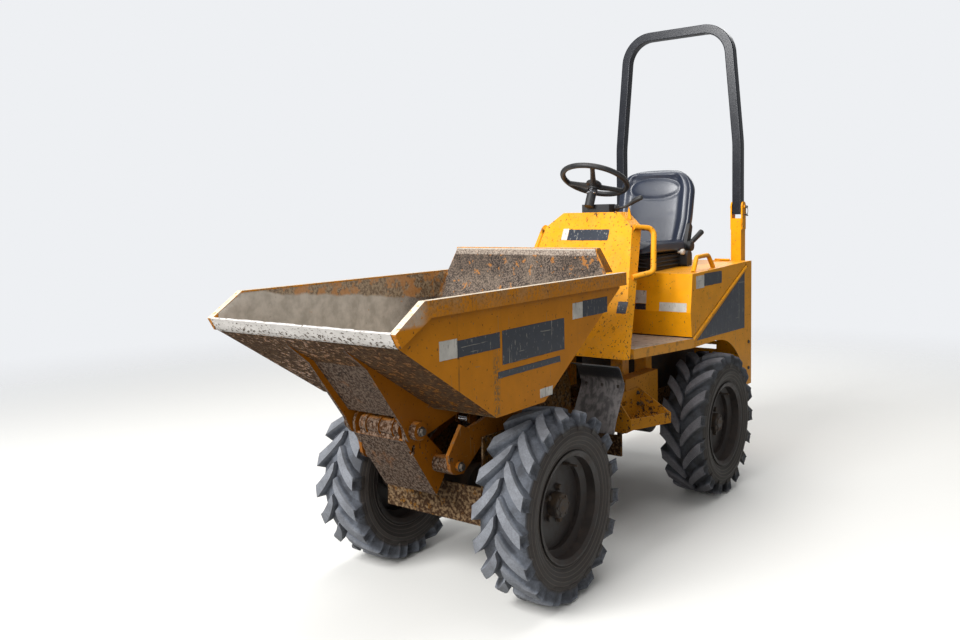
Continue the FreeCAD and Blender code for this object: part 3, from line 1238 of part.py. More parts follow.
# How far down the console's front a hand rail's lower end lies, as a share of its height.
GRAB_SHARE = "(226/568)"
GRAB_HALF = f"(console_mid_half+(console_low_half-console_mid_half)*{GRAB_SHARE})"
GRAB_FRONT = f"(console_mid_y-(console_mid_y-console_low_y)*{GRAB_SHARE})"
GRAB_LOW = f"(console_mid_z-(console_mid_z-console_low_z)*{GRAB_SHARE})"
grab = rail_path("grab", (
    ("console_mid_half+7", "console_mid_y+7", "console_mid_z-2"),
    ("console_mid_half+68", "console_mid_y+86", "console_mid_z-11"),
    (f"{GRAB_HALF}+67", "console_mid_y-1", f"{GRAB_LOW}+20"),
    (f"{GRAB_HALF}+5", f"{GRAB_FRONT}+22", GRAB_LOW),
), "handle_radius")
node("console", fuse("console_body", (console_shell, dash, console_foot, console_hook, *pair("grab", grab))))

# Steering column and wheel

WHEEL_AT = FreeCAD.Rotation(FreeCAD.Vector(1, 0, 0), -num("wheel_tilt"))


def leaning(name, pieces):
    """Pieces built flat round the origin, set at the steering wheel's centre and tilt."""
    piece = fuse(name, pieces) if len(pieces) > 1 else group(name, pieces)
    piece.Placement = FreeCAD.Placement(FreeCAD.Vector(), WHEEL_AT)
    bind(piece, "Placement.Base.y", "wheel_centre_y")
    bind(piece, "Placement.Base.z", "wheel_centre_z")
    bind(piece, "Placement.Rotation.Angle", "0-wheel_tilt")
    piece.Placement = FreeCAD.Placement(piece.Placement.Base, WHEEL_AT)
    return piece


RING_SIDES = 12
ring_points = [
    (f"wheel_ring_radius+({math.cos(turn):.6f})*wheel_rim_radius", f"({math.sin(turn):.6f})*wheel_rim_radius")
    for turn in (2 * math.pi * (side + 0.5) / RING_SIDES for side in range(RING_SIDES))
]
ring = DOC.addObject("Part::Revolution", "wheel_ring")
ring.Source = outline("wheel_ring_outline", "front", ring_points)
ring.Axis = FreeCAD.Vector(0, 0, 1)
ring.Base = FreeCAD.Vector()
ring.Angle = 360
ring.Solid = True
wheel_hub = rod("wheel_hub", "z", ("0", "0", "0-34"), "34", "40")
spokes = []
for number, angle in enumerate((90, 210, 330)):
    spoke = slab(f"spoke_{number}", "top", (
        ("10", "0-14"), ("wheel_ring_radius", "0-9"), ("wheel_ring_radius", "9"), ("10", "14"),
    ), "0-14", "8")
    turned = group(f"spoke_turned_{number}", (spoke,))
    turned.Placement = FreeCAD.Placement(FreeCAD.Vector(), FreeCAD.Rotation(FreeCAD.Vector(0, 0, 1), angle))
    spokes.append(turned)
node("steering_wheel", leaning("steering_wheel_body", (ring, wheel_hub, *spokes)))
column = rod("column_tube", "z", ("0", "0", "0-140"), "column_radius", "140-34-fit_gap")
switch_box = block("switch_box", ("0-50", "console_mid_y+36", "console_top_z+fit_gap"), ("145", "60", "38"))
node("steering_column", fuse("steering_column_body", (leaning("column_placed", (column,)), switch_box)))

lever_foot = rod("lever_foot", "x", ("95+fit_gap", "console_mid_y+66", "console_top_z+20"), "12", "8")
lever_stick = rail_path("lever_stick", (
    ("100", "console_mid_y+66", "console_top_z+20"),
    ("152", "console_mid_y+68", "console_top_z+22"),
    ("206", "console_mid_y+72", "console_top_z+50"),
), "6")
lever_knob = DOC.addObject("Part::Sphere", "lever_knob")
bind(lever_knob, "Radius", "15")
put(lever_knob, ("212", "console_mid_y+72", "console_top_z+53"))
node("direction_lever", fuse("direction_lever_body", (lever_foot, lever_stick, lever_knob)))

# Name, right edge.
PEDALS = (("drive_pedal", "0-150"), ("brake_pedal", "70"))
pedal_pieces = []
for name, x in PEDALS:
    width, reach = f"{name}_width", f"{name}_reach"
    pedal_pieces.append(slab(name, "side", (
        ("pedal_y", "floor_top_z+fit_gap"),
        (f"pedal_y+{reach}+pedal_foot", "floor_top_z+fit_gap"),
        (f"pedal_y+{reach}+pedal_foot", "floor_top_z+fit_gap+pedal_foot/5"),
        ("pedal_y+pedal_foot", "floor_top_z+fit_gap+pedal_foot/5"),
        ("pedal_y-pedal_foot/3", f"floor_top_z+fit_gap+{reach}"),
        ("pedal_y-pedal_foot*0.6", f"floor_top_z+fit_gap+{reach}-4"),
    ), x, width))
node("pedals", group("pedals_all", pedal_pieces))

# Body sides, rear panel and engine cover

BAR_SLOPE = "((cover_hinge_z-9-cover_low_z)/(cover_hinge_y-cover_low_y-12))"
PANEL_START = "(cover_low_z-cover_gap-bar_radius)"
arch_tool = rod("arch_tool", "x", ("body_half-body_wall-2", "rear_axle_y", AXLE_Z), "arch_radius", "body_wall+4")
side_sheet = slab("side_sheet", "side", (
    ("floor_rear_y+fit_gap", "panel_low_z"),
    ("floor_rear_y+fit_gap", PANEL_START),
    ("cover_hinge_y+6", f"{PANEL_START}+{BAR_SLOPE}*(cover_hinge_y+6-floor_rear_y)"),
    ("cover_hinge_y+6", "cover_hinge_z"),
    ("body_rear_y-body_wall-fit_gap", "cover_hinge_z"),
    ("body_rear_y-body_wall-fit_gap", "panel_rear_low_z"),
    ("rear_axle_y+arch_radius*0.94", "panel_rear_low_z"),
    ("rear_axle_y", "panel_rear_low_z"),
    ("rear_axle_y", "panel_low_z"),
), "body_half-body_wall", "body_wall")
side_sheet_done = cut("side_sheet_done", side_sheet, arch_tool)
BAR_SINK = 5


def bar_spot(y):
    """Middle of the round bar, just under the panel's sloping edge, clear of the cover."""
    return ("body_half-body_wall/2", y, f"{PANEL_START}+{BAR_SLOPE}*(({y})-floor_rear_y)-{BAR_SINK}")


edge_bar = rail_path("edge_bar", (bar_spot("floor_rear_y+bar_radius"), bar_spot("cover_hinge_y-bar_radius")), "bar_radius")
node("side_panels", both("side_panels_pair", fuse("side_panel_done", (side_sheet_done, edge_bar))))

HINGE = ("cover_hinge_y+3", "cover_hinge_z+7")


def knuckle_row(name, first, leaf_low_y, leaf_length, leaf_low_z):
    """A hinge knuckle with its leaf, at a distance from the middle plane."""
    barrel = rod(f"{name}_knuckle", "x", (first, *HINGE), "6", "40")
    leaf = block(f"{name}_leaf", (first, leaf_low_y, leaf_low_z), ("40", leaf_length, "6"))
    return fuse(f"{name}_hinge", (barrel, leaf))


rear_sheet = block("rear_sheet", ("0-body_half", "body_rear_y-body_wall", "panel_rear_low_z"), ("2*body_half", "body_wall", "cover_hinge_z-panel_rear_low_z"))
top_strip = block("top_strip", ("0-body_half+body_wall+fit_gap", "cover_hinge_y+6", "cover_hinge_z-body_wall"), ("2*(body_half-body_wall-fit_gap)", "body_rear_y-cover_hinge_y-7", "body_wall"))
slots = [
    block(f"grille_slot_{number}", ("0-240", "body_rear_y-body_wall-5", f"640+{number}*44"), ("480", "20", "24"))
    for number in range(8)
]
fixed_hinge = knuckle_row("fixed", "301", "cover_hinge_y+4", "30", "cover_hinge_z-2")
hinge_pin = rod("hinge_pin", "x", ("262", *HINGE), "4", "60")
rear_pieces_top = (rear_sheet, top_strip, *pair("fixed_hinge", fixed_hinge), *pair("hinge_pin", hinge_pin))
node("rear_panel", cut("rear_panel_body", fuse("rear_panel_solid", rear_pieces_top), *slots))

cover_outer = slab("cover_outer", "side", (
    ("cover_low_y", "cover_low_z"),
    ("cover_crease_y", "cover_crease_z"),
    ("cover_top_y", "cover_top_z"),
    ("cover_hinge_y", "cover_hinge_z"),
    ("cover_hinge_y", "cover_hinge_z-9"),
    ("cover_low_y+12", "cover_low_z"),
), "0-body_half", "2*body_half")
cover_hollow = slab("cover_hollow", "side", (
    ("cover_low_y+body_wall", "cover_low_z-30"),
    ("cover_low_y+body_wall", "cover_low_z"),
    ("cover_crease_y+body_wall", "cover_crease_z"),
    ("cover_top_y+body_wall", "cover_top_z-body_wall"),
    ("cover_hinge_y+20", "cover_hinge_z-body_wall"),
    ("cover_hinge_y+20", "cover_low_z-30"),
), "0-body_half+body_wall", "2*(body_half-body_wall)")
engine = block("engine_solid", ("0-engine_half", "engine_front_y", "engine_low_z"), ("2*engine_half", "engine_rear_y-engine_front_y", "engine_high_z-engine_low_z"))
node("engine_block", engine)

TOP_SLOPE = "((cover_hinge_z-cover_top_z)/(cover_hinge_y-cover_top_y))"


def cover_top(y):
    """Height of the engine cover's top at a place along the machine."""
    return f"(cover_top_z+{TOP_SLOPE}*(({y})-cover_top_y))"


loop = rail_path("cover_loop", (
    ("body_half-34", "cover_top_y+86", f"{cover_top('cover_top_y+86')}-2"),
    ("body_half-44", "cover_top_y+150", f"{cover_top('cover_top_y+150')}+66"),
    ("body_half-44", "cover_top_y+290", f"{cover_top('cover_top_y+290')}+66"),
    ("body_half-34", "cover_top_y+332", f"{cover_top('cover_top_y+332')}-2"),
), "handle_radius-2")
moving_hinge = knuckle_row("moving", "260", "cover_hinge_y-30", "32", "cover_hinge_z-2")
moving_bore = rod("moving_bore", "x", ("258", *HINGE), "4+pin_gap", "46")
moving_done = cut("moving_hinge_done", moving_hinge, moving_bore)
cover_shell = cut("cover_shell", cover_outer, cover_hollow)
cover_parts = (cover_shell, *pair("cover_loop", loop), *pair("moving_hinge_done", moving_done))
node("engine_cover", fuse("engine_cover_body", cover_parts))

# Seat


def base_top(y):
    """Height of the seat base's top at a place along the machine."""
    return f"(seat_base_z-14*(seat_rear_y-({y}))/(seat_rear_y-seat_front_y))"


seat_box = slab("seat_box", "side", (
    ("seat_front_y", f"{cover_top('seat_front_y')}+fit_gap"),
    ("seat_rear_y", f"{cover_top('seat_rear_y')}+fit_gap"),
    ("seat_rear_y", base_top("seat_rear_y")),
    ("seat_front_y", base_top("seat_front_y")),
), "0-seat_half+20", "2*(seat_half-20)")
belt_reel = slab("belt_reel", "side", (
    ("seat_rear_y-96", "seat_base_z-66", "10"),
    ("seat_rear_y-34", "seat_base_z-66", "10"),
    ("seat_rear_y-34", "seat_base_z+10", "24"),
    ("seat_rear_y-96", "seat_base_z+10", "24"),
), "seat_half-21", "48")
belt_reel_gap = block("belt_reel_gap", ("seat_half-30", "seat_rear_y-110", "seat_base_z-8"), ("30+run_gap", "90", "30"))
node("seat_base", fuse("seat_base_solid", (seat_box, cut("belt_reel_done", belt_reel, belt_reel_gap))))
cushion = slab("seat_cushion_solid", "side", (
    ("seat_front_y-26", f"{base_top('seat_front_y-26')}+fit_gap"),
    ("seat_rear_y-30", f"{base_top('seat_rear_y-30')}+fit_gap"),
    ("seat_rear_y-30", "seat_top_z-10"),
    ("seat_front_y-20", "seat_top_z"),
), "0-seat_half", "2*seat_half")
node("seat_cushion", cushion)
back = slab("seat_back_solid", "side", (
    ("seat_rear_y-26", "seat_base_z+fit_gap"),
    ("seat_rear_y+40", "seat_base_z+fit_gap"),
    ("seat_back_top_y+10", "seat_back_top_z-40"),
    ("seat_back_top_y-20", "seat_back_top_z"),
    ("seat_back_top_y-seat_back_depth", "seat_back_top_z-20"),
), "0-seat_back_half", "2*seat_back_half")
node("seat_back", back)

# Roll bar

POST_Y = "(body_rear_y+fit_gap)"
HINGE_Y = "(body_rear_y+fit_gap+post_depth/2)"
LEG_X = "(post_half-post_width/2)"
post = block("post", ("post_half-post_width", POST_Y, "panel_rear_low_z"), ("post_width", "post_depth", "post_top_z-panel_rear_low_z"))
cheek_points = (
    (f"{HINGE_Y}-26", "post_top_z-60"),
    (f"{HINGE_Y}-26", "hoop_hinge_z+28", "24"),
    (f"{HINGE_Y}+26", "hoop_hinge_z+28", "24"),
    (f"{HINGE_Y}+26", "post_top_z-60"),
)
CHEEK_X = f"({LEG_X}+hoop_side/2+fit_gap)"
cheek_out = slab("cheek_out", "side", cheek_points, CHEEK_X, "cheek_plate")
cheek_in = slab("cheek_in", "side", cheek_points, f"{LEG_X}-hoop_side/2-fit_gap-cheek_plate", "cheek_plate")
hoop_pin = rod("hoop_pin", "x", (f"{LEG_X}-hoop_side/2-cheek_plate-8", HINGE_Y, "hoop_hinge_z"), "10", "hoop_side+2*cheek_plate+16")
beam = block("rear_beam", ("0-post_half", POST_Y, "hitch_low_z+hitch_height+fit_gap"), ("2*post_half", "beam_depth", "110"))
post_pieces = [beam]
for part in (post, cheek_out, cheek_in, hoop_pin):
    post_pieces.extend(pair(part.Name, part))
node("rops_posts", fuse("rops_posts_body", post_pieces))

hoop_path = (
    (LEG_X, "hoop_hinge_z-40"),
    (LEG_X, "hoop_bend_z", "600"),
    ("hoop_top_half-hoop_side/2", "hoop_top_z-hoop_side/2", "hoop_bend_radius"),
    ("0-hoop_top_half+hoop_side/2", "hoop_top_z-hoop_side/2", "hoop_bend_radius"),
    (f"0-{LEG_X}", "hoop_bend_z", "600"),
    (f"0-{LEG_X}", "hoop_hinge_z-40"),
)
hoop_spine = outline("hoop_spine", "front", hoop_path, closed=False)
bind(hoop_spine, "Placement.Base.y", HINGE_Y)
hoop_section = outline("hoop_section", "top", (
    (f"{LEG_X}-hoop_side/2", f"{HINGE_Y}-hoop_side/2", "6"),
    (f"{LEG_X}+hoop_side/2", f"{HINGE_Y}-hoop_side/2", "6"),
    (f"{LEG_X}+hoop_side/2", f"{HINGE_Y}+hoop_side/2", "6"),
    (f"{LEG_X}-hoop_side/2", f"{HINGE_Y}+hoop_side/2", "6"),
))
bind(hoop_section, "Placement.Base.z", "hoop_hinge_z-40")
hoop = DOC.addObject("Part::Sweep", "hoop_sweep")
hoop.Sections = [hoop_section]
hoop.Spine = (hoop_spine, [])
hoop.Solid = True
hoop_bores = rod("hoop_bore", "x", (f"0-{LEG_X}-hoop_side", HINGE_Y, "hoop_hinge_z"), "10+pin_gap", f"2*{LEG_X}+2*hoop_side")
node("rops_hoop", cut("rops_hoop_body", hoop, hoop_bores))


# Build, check and export

DOC.recompute()
faults = [
    f"{item.Name}: {item.State}"
    for item in DOC.Objects
    if {"Invalid", "Error"} & set(item.State)
]
for name, piece in NODES.items():
    shape = piece.Shape
    if shape.isNull() or not shape.isValid() or not shape.Solids:
        faults.append(f"{name}: no valid solid")
if faults:
    raise SystemExit("\n".join(faults))

os.makedirs("parts", exist_ok=True)
for name, piece in NODES.items():
    piece.Shape.exportStep(f"parts/{name}.step")
    box = piece.Shape.BoundBox
    print(f"{name:18s} solids {len(piece.Shape.Solids)} volume {piece.Shape.Volume / 1e6:8.3f} l",
          f"x {box.XMin:7.1f} {box.XMax:7.1f} y {box.YMin:7.1f} {box.YMax:7.1f} z {box.ZMin:7.1f} {box.ZMax:7.1f}")
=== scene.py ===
# %% [markdown]
# # A small site dumper
# The machine's shapes and joints come from a packed CAD model, which is loaded here as a fixed frame.
# This lesson gives that model its looks: treaded tyres, a padded seat, worn paint, mud and dried concrete.
# Everything is in the model's own frame: Z is up, the skip faces -Y, and +X is the side nearer the camera.

# %% The frame
import math
import random

import bmesh
import bpy
from mathutils import Matrix, Vector, noise


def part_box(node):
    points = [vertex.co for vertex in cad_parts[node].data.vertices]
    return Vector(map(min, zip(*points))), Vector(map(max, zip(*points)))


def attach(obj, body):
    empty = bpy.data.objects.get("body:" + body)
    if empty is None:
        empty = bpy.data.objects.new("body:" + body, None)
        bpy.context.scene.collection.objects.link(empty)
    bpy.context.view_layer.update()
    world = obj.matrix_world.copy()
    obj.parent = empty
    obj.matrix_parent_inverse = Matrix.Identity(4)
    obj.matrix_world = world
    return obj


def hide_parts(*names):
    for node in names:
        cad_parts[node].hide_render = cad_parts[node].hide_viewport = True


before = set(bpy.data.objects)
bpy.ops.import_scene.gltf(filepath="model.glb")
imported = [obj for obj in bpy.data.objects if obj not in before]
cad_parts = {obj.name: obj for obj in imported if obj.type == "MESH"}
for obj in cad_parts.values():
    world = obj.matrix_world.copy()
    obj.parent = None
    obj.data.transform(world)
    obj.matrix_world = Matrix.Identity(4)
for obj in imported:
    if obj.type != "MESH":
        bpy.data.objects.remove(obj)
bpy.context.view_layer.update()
MM = 0.001

# %% [markdown]
# ## Shader arithmetic
# A material's masks are sums and products of a few textures, and long chains of Math nodes are hard to read.
# So one small class stands for a socket and takes plain arithmetic, and every operation adds its node.
# All other nodes come from one method that takes the node's type, its settings and its sockets.


# %% Wires and finishes
def connect(tree, value, socket):
    """Feed a socket from a wire, or set its plain value."""
    if isinstance(value, Wire):
        tree.links.new(value.socket, socket)
    else:
        socket.default_value = value


class Wire:
    """The value on a node's socket. Arithmetic on it adds Math nodes to its material."""

    def __init__(self, tree, socket):
        self.tree = tree
        self.socket = socket

    def maths(self, operation, left, right=0.0, clamp=False):
        node = self.tree.nodes.new("ShaderNodeMath")
        node.operation = operation
        node.use_clamp = clamp
        connect(self.tree, left, node.inputs[0])
        connect(self.tree, right, node.inputs[1])
        return Wire(self.tree, node.outputs[0])

    def __add__(self, other):
        return self.maths("ADD", self, other)

    def __sub__(self, other):
        return self.maths("SUBTRACT", self, other)

    def __rsub__(self, other):
        return self.maths("SUBTRACT", other, self)

    def __mul__(self, other):
        return self.maths("MULTIPLY", self, other)

    def __pow__(self, other):
        return self.maths("POWER", self, other)

    def clamped(self):
        return self.maths("ADD", self, 0.0, clamp=True)

    def most(self, other):
        return self.maths("MAXIMUM", self, other)

    def unsigned(self):
        return self.maths("ABSOLUTE", self)


def rgb(code, gain=1.0):
    """A colour as a screen shows it, such as d98f1e, turned into the shader's linear values."""
    parts = [int(code[i:i + 2], 16) / 255 for i in (0, 2, 4)]
    linear = [c / 12.92 if c <= 0.04045 else ((c + 0.055) / 1.055) ** 2.4 for c in parts]
    return (*(min(1.0, c * gain) for c in linear), 1.0)


class Finish:
    """A material round one Principled shader."""

    def __init__(self, name, gleam=0.5, **plain):
        self.material = bpy.data.materials.new(name)
        self.material.use_nodes = True
        self.tree = self.material.node_tree
        self.shader = self.tree.nodes["Principled BSDF"]
        self.shader.inputs["Specular IOR Level"].default_value = gleam
        self.surface(**plain)
        spots = self.tree.nodes.new("ShaderNodeTexCoord")
        self.place = Wire(self.tree, spots.outputs["Object"])
        self.normal = Wire(self.tree, spots.outputs["Normal"])

    def surface(self, **values):
        """Set or feed the shader's sockets, named in lower case with underscores."""
        for name, value in values.items():
            connect(self.tree, value, self.shader.inputs[name.replace("_", " ").title()])

    def node(self, kind, settings=None, sockets=None, out=0):
        """Any other node: its settings first, then its sockets' values or wires."""
        node = self.tree.nodes.new(kind)
        for key, value in (settings or {}).items():
            setattr(node, key, value)
        for key, value in (sockets or {}).items():
            connect(self.tree, value, node.inputs[key])
        return Wire(self.tree, node.outputs[out])

    def split(self, vector):
        """A vector's three parts as wires."""
        node = self.tree.nodes.new("ShaderNodeSeparateXYZ")
        connect(self.tree, vector, node.inputs[0])
        return [Wire(self.tree, socket) for socket in node.outputs]

    def noise(self, size, detail=3.0, rough=0.55, stretch=(1, 1, 1), shift=0.0):
        """Cloudy noise from 0 to 1, with blotches of a size in metres."""
        moved = {"Vector": self.place, "Scale": stretch, "Location": (shift,) * 3}
        spot = self.node("ShaderNodeMapping", {}, moved)
        sockets = {"Vector": spot, "Scale": 1 / size, "Detail": detail, "Roughness": rough}
        return self.node("ShaderNodeTexNoise", {}, sockets)

    def cells(self, size):
        """Distance inside round cells of a size in metres."""
        return self.node("ShaderNodeTexVoronoi", {}, {"Vector": self.place, "Scale": 1 / size})

    def rise(self, value, low, high):
        """A smooth step from 0 at low to 1 at high."""
        sockets = {"Value": value, "From Min": low, "From Max": high}
        return self.node("ShaderNodeMapRange", {"interpolation_type": "SMOOTHSTEP"}, sockets)

    def mix(self, factor, first, second):
        """The first colour where the factor is 0, the second where it is 1."""
        # The Mix node has sockets for each kind of value: 0, 6 and 7 are the factor and the two colours.
        sockets = {0: factor, 6: first, 7: second}
        return self.node("ShaderNodeMix", {"data_type": "RGBA"}, sockets, out=2)

    def bump(self, height, strength, depth):
        """Feed the shader's normal from a height."""
        sockets = {"Height": height, "Strength": strength, "Distance": depth}
        self.surface(normal=self.node("ShaderNodeBump", {}, sockets))


print("mid grey on the screen is", round(rgb("808080")[0], 3), "in the shader")

# %% [markdown]
# ## Finishes
# The machine wears one orange-yellow paint under splashes of mud, fine scratches, rust and dust. The same
# recipe paints the cleaner body and the dirtier skip and nose, so it is a function with a few amounts. The
# arms get a darker copy of the orange as painted shade, and the skip's darker orange is partly wear and
# partly painted shade. Mud gathers where a face looks down or forward, and faces that look down are also
# darkened as painted shade, so the masks read the surface's own direction.

# %% Worn paint
MUD_DARK = rgb("2f2118")
MUD_PALE = rgb("7b664d")
RUST = rgb("5a2f16")
DUST = rgb("b9a98c")
SCRATCHED = rgb("8b7a5c")


def worn_paint(name, code, mud=0.1, under=0.3, ahead=0.0, dust=0.15, rust=0.4, rough=0.38, over=None):
    """Paint with mud splashes, scratches, rust pits, dust on top faces and painted shade on faces that look
    down; over adds a last layer.
    """
    f = Finish(name, gleam=0.12)
    facing_x, facing_y, facing_z = f.split(f.normal)
    clouds = f.noise(0.30, 2.0)
    tone = f.noise(0.09, 4.0, 0.6, shift=3.1)
    colour = f.mix(f.rise(tone, 0.3, 0.7), rgb(code, 0.90), rgb(code, 1.03))
    down = (0.0 - facing_z).clamped()
    front = (0.0 - facing_y).clamped()
    cover = (clouds - 0.5) * 0.9 + down * under + front * ahead + mud
    # Painted shade: faces that look down are darkened towards a dark tone of the paint.
    colour = f.mix((down * 0.85).clamped(), colour, rgb(code, 0.16))
    scratch = f.rise(f.noise(0.012, 2.0, 0.5, stretch=(1, 1, 0.06), shift=5.5) + clouds * 0.12, 0.775, 0.79)
    scuff = f.rise(f.noise(0.010, 2.0, 0.5, stretch=(1, 0.08, 1), shift=9.1) + clouds * 0.10, 0.775, 0.79)
    colour = f.mix((scratch + scuff).clamped() * 0.45, colour, SCRATCHED)
    pits = f.rise(f.noise(0.035, 5.0, 0.68, shift=2.2) + cover * 0.05, 0.66, 0.69) * rust
    colour = f.mix(pits, colour, RUST)
    film = (facing_z.clamped() * dust) * f.rise(f.noise(0.05, 4.0, 0.6, shift=4.0), 0.35, 0.7)
    colour = f.mix(film, colour, DUST)
    clots = f.rise(f.noise(0.020, 4.0, 0.6, shift=7.7) + cover * 0.30, 0.735, 0.765)
    fine = f.noise(0.010, 1.5, 0.5, stretch=(1.2, 1.0, 0.75), shift=1.3)
    specks = f.rise(fine + cover * 0.13, 0.700, 0.715) * 0.85
    stuck = clots.most(specks)
    # Painted shade on the mud: mud on faces that look down is darker.
    mud_tone = f.rise(f.noise(0.013, 3.0, 0.6, shift=6.0), 0.42, 0.66) * (1.0 - down * 0.6)
    colour = f.mix(stuck * 0.92, colour, f.mix(mud_tone, MUD_DARK, MUD_PALE))
    if over:
        colour, stuck = over(f, colour, stuck, (facing_x, facing_y, facing_z))
    f.surface(base_color=colour, roughness=(stuck * 0.5 + film * 0.4 + pits * 0.3 + rough).clamped())
    f.bump(stuck * 0.7 + tone * 0.12 + fine * 0.06, 0.5, 0.0012)
    return f.material


# Places on the skip in metres: the scraped strip above its lowest corner, its rims and their front ends.
SCRAPE_Y, SCRAPE_TOP = -0.934, (1.0, 0.9)
RIM_BAND, RIM_TOPS = (1.075, 1.165), (1.02, 1.06)
RIM_ENDS_Y, RIM_ENDS_Z = (-1.285, -1.34), (1.085, 1.10)


def skip_wear(f, colour, stuck, facing):
    """Spilt concrete on the skip's rims, a scraped strip at its lowest corner and drips down its sides."""
    y, z = f.split(f.place)[1:]
    strip = f.rise((y - SCRAPE_Y).unsigned(), 0.026, 0.006) * f.rise(z, *SCRAPE_TOP)
    scraped = strip * f.rise(f.noise(0.012, 4.0, 0.65, shift=4.4), 0.44, 0.56)
    colour = f.mix(scraped * 0.8, colour, rgb("77694f"))
    drips = f.rise(f.noise(0.016, 2.0, 0.5, stretch=(1, 1, 0.035), shift=2.9), 0.665, 0.69)
    drips = drips * f.rise(f.noise(0.25, 2.0, 0.5, shift=1.9), 0.45, 0.6)
    colour = f.mix(drips * 0.55, colour, rgb("6b4a1c"))
    grit = f.noise(0.011, 4.0, 0.65, shift=8.8)
    patches = (f.noise(0.07, 3.0, 0.6, shift=7.0) - 0.5) * 0.6
    edge = f.rise(z, *RIM_BAND) * f.rise(grit + patches, 0.58, 0.46)
    colour = f.mix(edge * 0.55, colour, f.mix(f.rise(grit, 0.35, 0.6), rgb("5a4630"), rgb("a39274")))
    top = f.rise(facing[2], 0.35, 0.8) * f.rise(z, *RIM_TOPS)
    ends = f.rise(y, *RIM_ENDS_Y) * f.rise(z, *RIM_ENDS_Z)
    spilt = (top + ends * 0.75).clamped() * f.rise(grit, 0.66, 0.58)
    pale = f.mix(f.noise(0.03, 3.0, 0.6, shift=5.0), rgb("a3947d"), rgb("ddd6c8"))
    return f.mix(spilt * 0.92, colour, pale), stuck.most(spilt * 0.8).most(scraped)


def caked(f, colour, stuck, facing):
    """Speckled mud thrown on the nose cover's forward faces."""
    grit = f.noise(0.0085, 3.0, 0.65, stretch=(1, 1, 0.8), shift=6.6)
    ahead = f.rise(facing[1], -0.30, -0.75)
    cake = ahead * f.rise(f.noise(0.09, 3.0, 0.6, shift=3.3) + ahead * 0.22, 0.42, 0.62)
    mud_colour = f.mix(f.rise(grit, 0.44, 0.58), rgb("1a1410"), rgb("665a50"))
    return f.mix(cake * 0.9, colour, mud_colour), stuck.most(cake * grit * 1.2)


ORANGE = worn_paint("orange paint", "f3a20e", mud=-0.02)
SPECKLED = worn_paint("speckled paint", "ee9f1c", mud=0.22, rust=0.5)
# The skip's orange is darker than the body's, partly from wear and partly as painted shade on its sides.
SKIP_PAINT = worn_paint("skip paint", "cf8210", mud=-0.03, under=1.3, rust=0.6, over=skip_wear)
NOSE_PAINT = worn_paint("nose paint", "985a0e", mud=0.15, under=0.5, ahead=0.1, rust=0.8, over=caked)
# The arms' orange is a darker copy of the body's: painted shade.
SHADED_ARM_PAINT = worn_paint("shaded arm paint", "8a5212", mud=0.25, under=0.4, ahead=0.2, rust=0.8, rough=0.4)
FRAME_PAINT = worn_paint(
    "frame paint", "6a4614", mud=0.72, under=0.4, ahead=0.5, rust=0.8, dust=0.2, rough=0.42,
)
TRAY_PAINT = worn_paint("tray paint", "b87a1c", mud=0.35, ahead=0.3, rust=0.7, dust=0.3, rough=0.45)
PAINTS = (ORANGE, SPECKLED, SKIP_PAINT, NOSE_PAINT, SHADED_ARM_PAINT, FRAME_PAINT, TRAY_PAINT)
print("paints made:", ", ".join(paint.name for paint in PAINTS))

# %% [markdown]
# ## Dark, bare and bright parts
# Castings, rims, rods and plastic have little paint on them, only a tone, a sheen and a film of dirt.
# One recipe with a few amounts serves them all, since they differ in how metallic, rough and dusty they are.


# %% Plain dark and bare finishes
def dusty(name, code, dirt="6b6358", amount=0.3, rough=0.5, metal=0.0, grain=0.004, size=0.06, depth=0.0004):
    """A dark or bare surface with a film of dirt in clouds, heavier on top, and a fine grain."""
    f = Finish(name, metallic=metal)
    facing_z = f.split(f.normal)[2]
    clouds = f.rise(f.noise(size, 5.0, 0.62), 0.38, 0.68)
    fine = f.noise(grain, 2.0, 0.5, shift=3.0)
    film = (clouds * amount + facing_z.clamped() * amount * 0.7 + (fine - 0.5) * 0.15).clamped()
    colour = f.mix(fine, rgb(code, 0.8), rgb(code, 1.2))
    f.surface(base_color=f.mix(film, colour, rgb(dirt)), roughness=(film * 0.4 + rough).clamped())
    f.bump(fine * 0.6 + film * 0.4, 0.4, depth)
    return f.material


# The blue in the black and in its blue-grey film is painted reflection of the sky; the film's clouds are also
# a little dirt.
BLACK_PAINT = dusty("black paint", "12151d", dirt="3a4150", amount=0.06, rough=0.26)
RIM_PAINT = dusty("rim paint", "191412", dirt="3b3029", amount=0.5, rough=0.5, size=0.04)
CASTING = dusty("dirty casting", "2a2522", dirt="5c4a38", amount=0.6, rough=0.6, size=0.03, depth=0.0008)
STEEL = dusty("dull steel", "5b5752", dirt="4a3c30", amount=0.5, rough=0.4, metal=0.8, size=0.02)
CHROME = dusty("chromed rod", "c9ccd2", dirt="8b8880", amount=0.08, rough=0.12, metal=1.0)
PLASTIC = dusty("moulded plastic", "191a1c", dirt="5d5a55", amount=0.14, rough=0.5, grain=0.0015)
print("one recipe, six finishes:", len(CASTING.node_tree.nodes), "nodes in", CASTING.name)

# %% [markdown]
# ## Flaps and films
# The front mudguards end in rubber flaps that are grey with dust and streaked. Thin blank films lie on the
# sheets and are scratched through. Both are one plain colour under masks, of height or of stretched noise.

# %% Mudguard sheet and films
FLAP_EDGE = (0.742, 0.722)


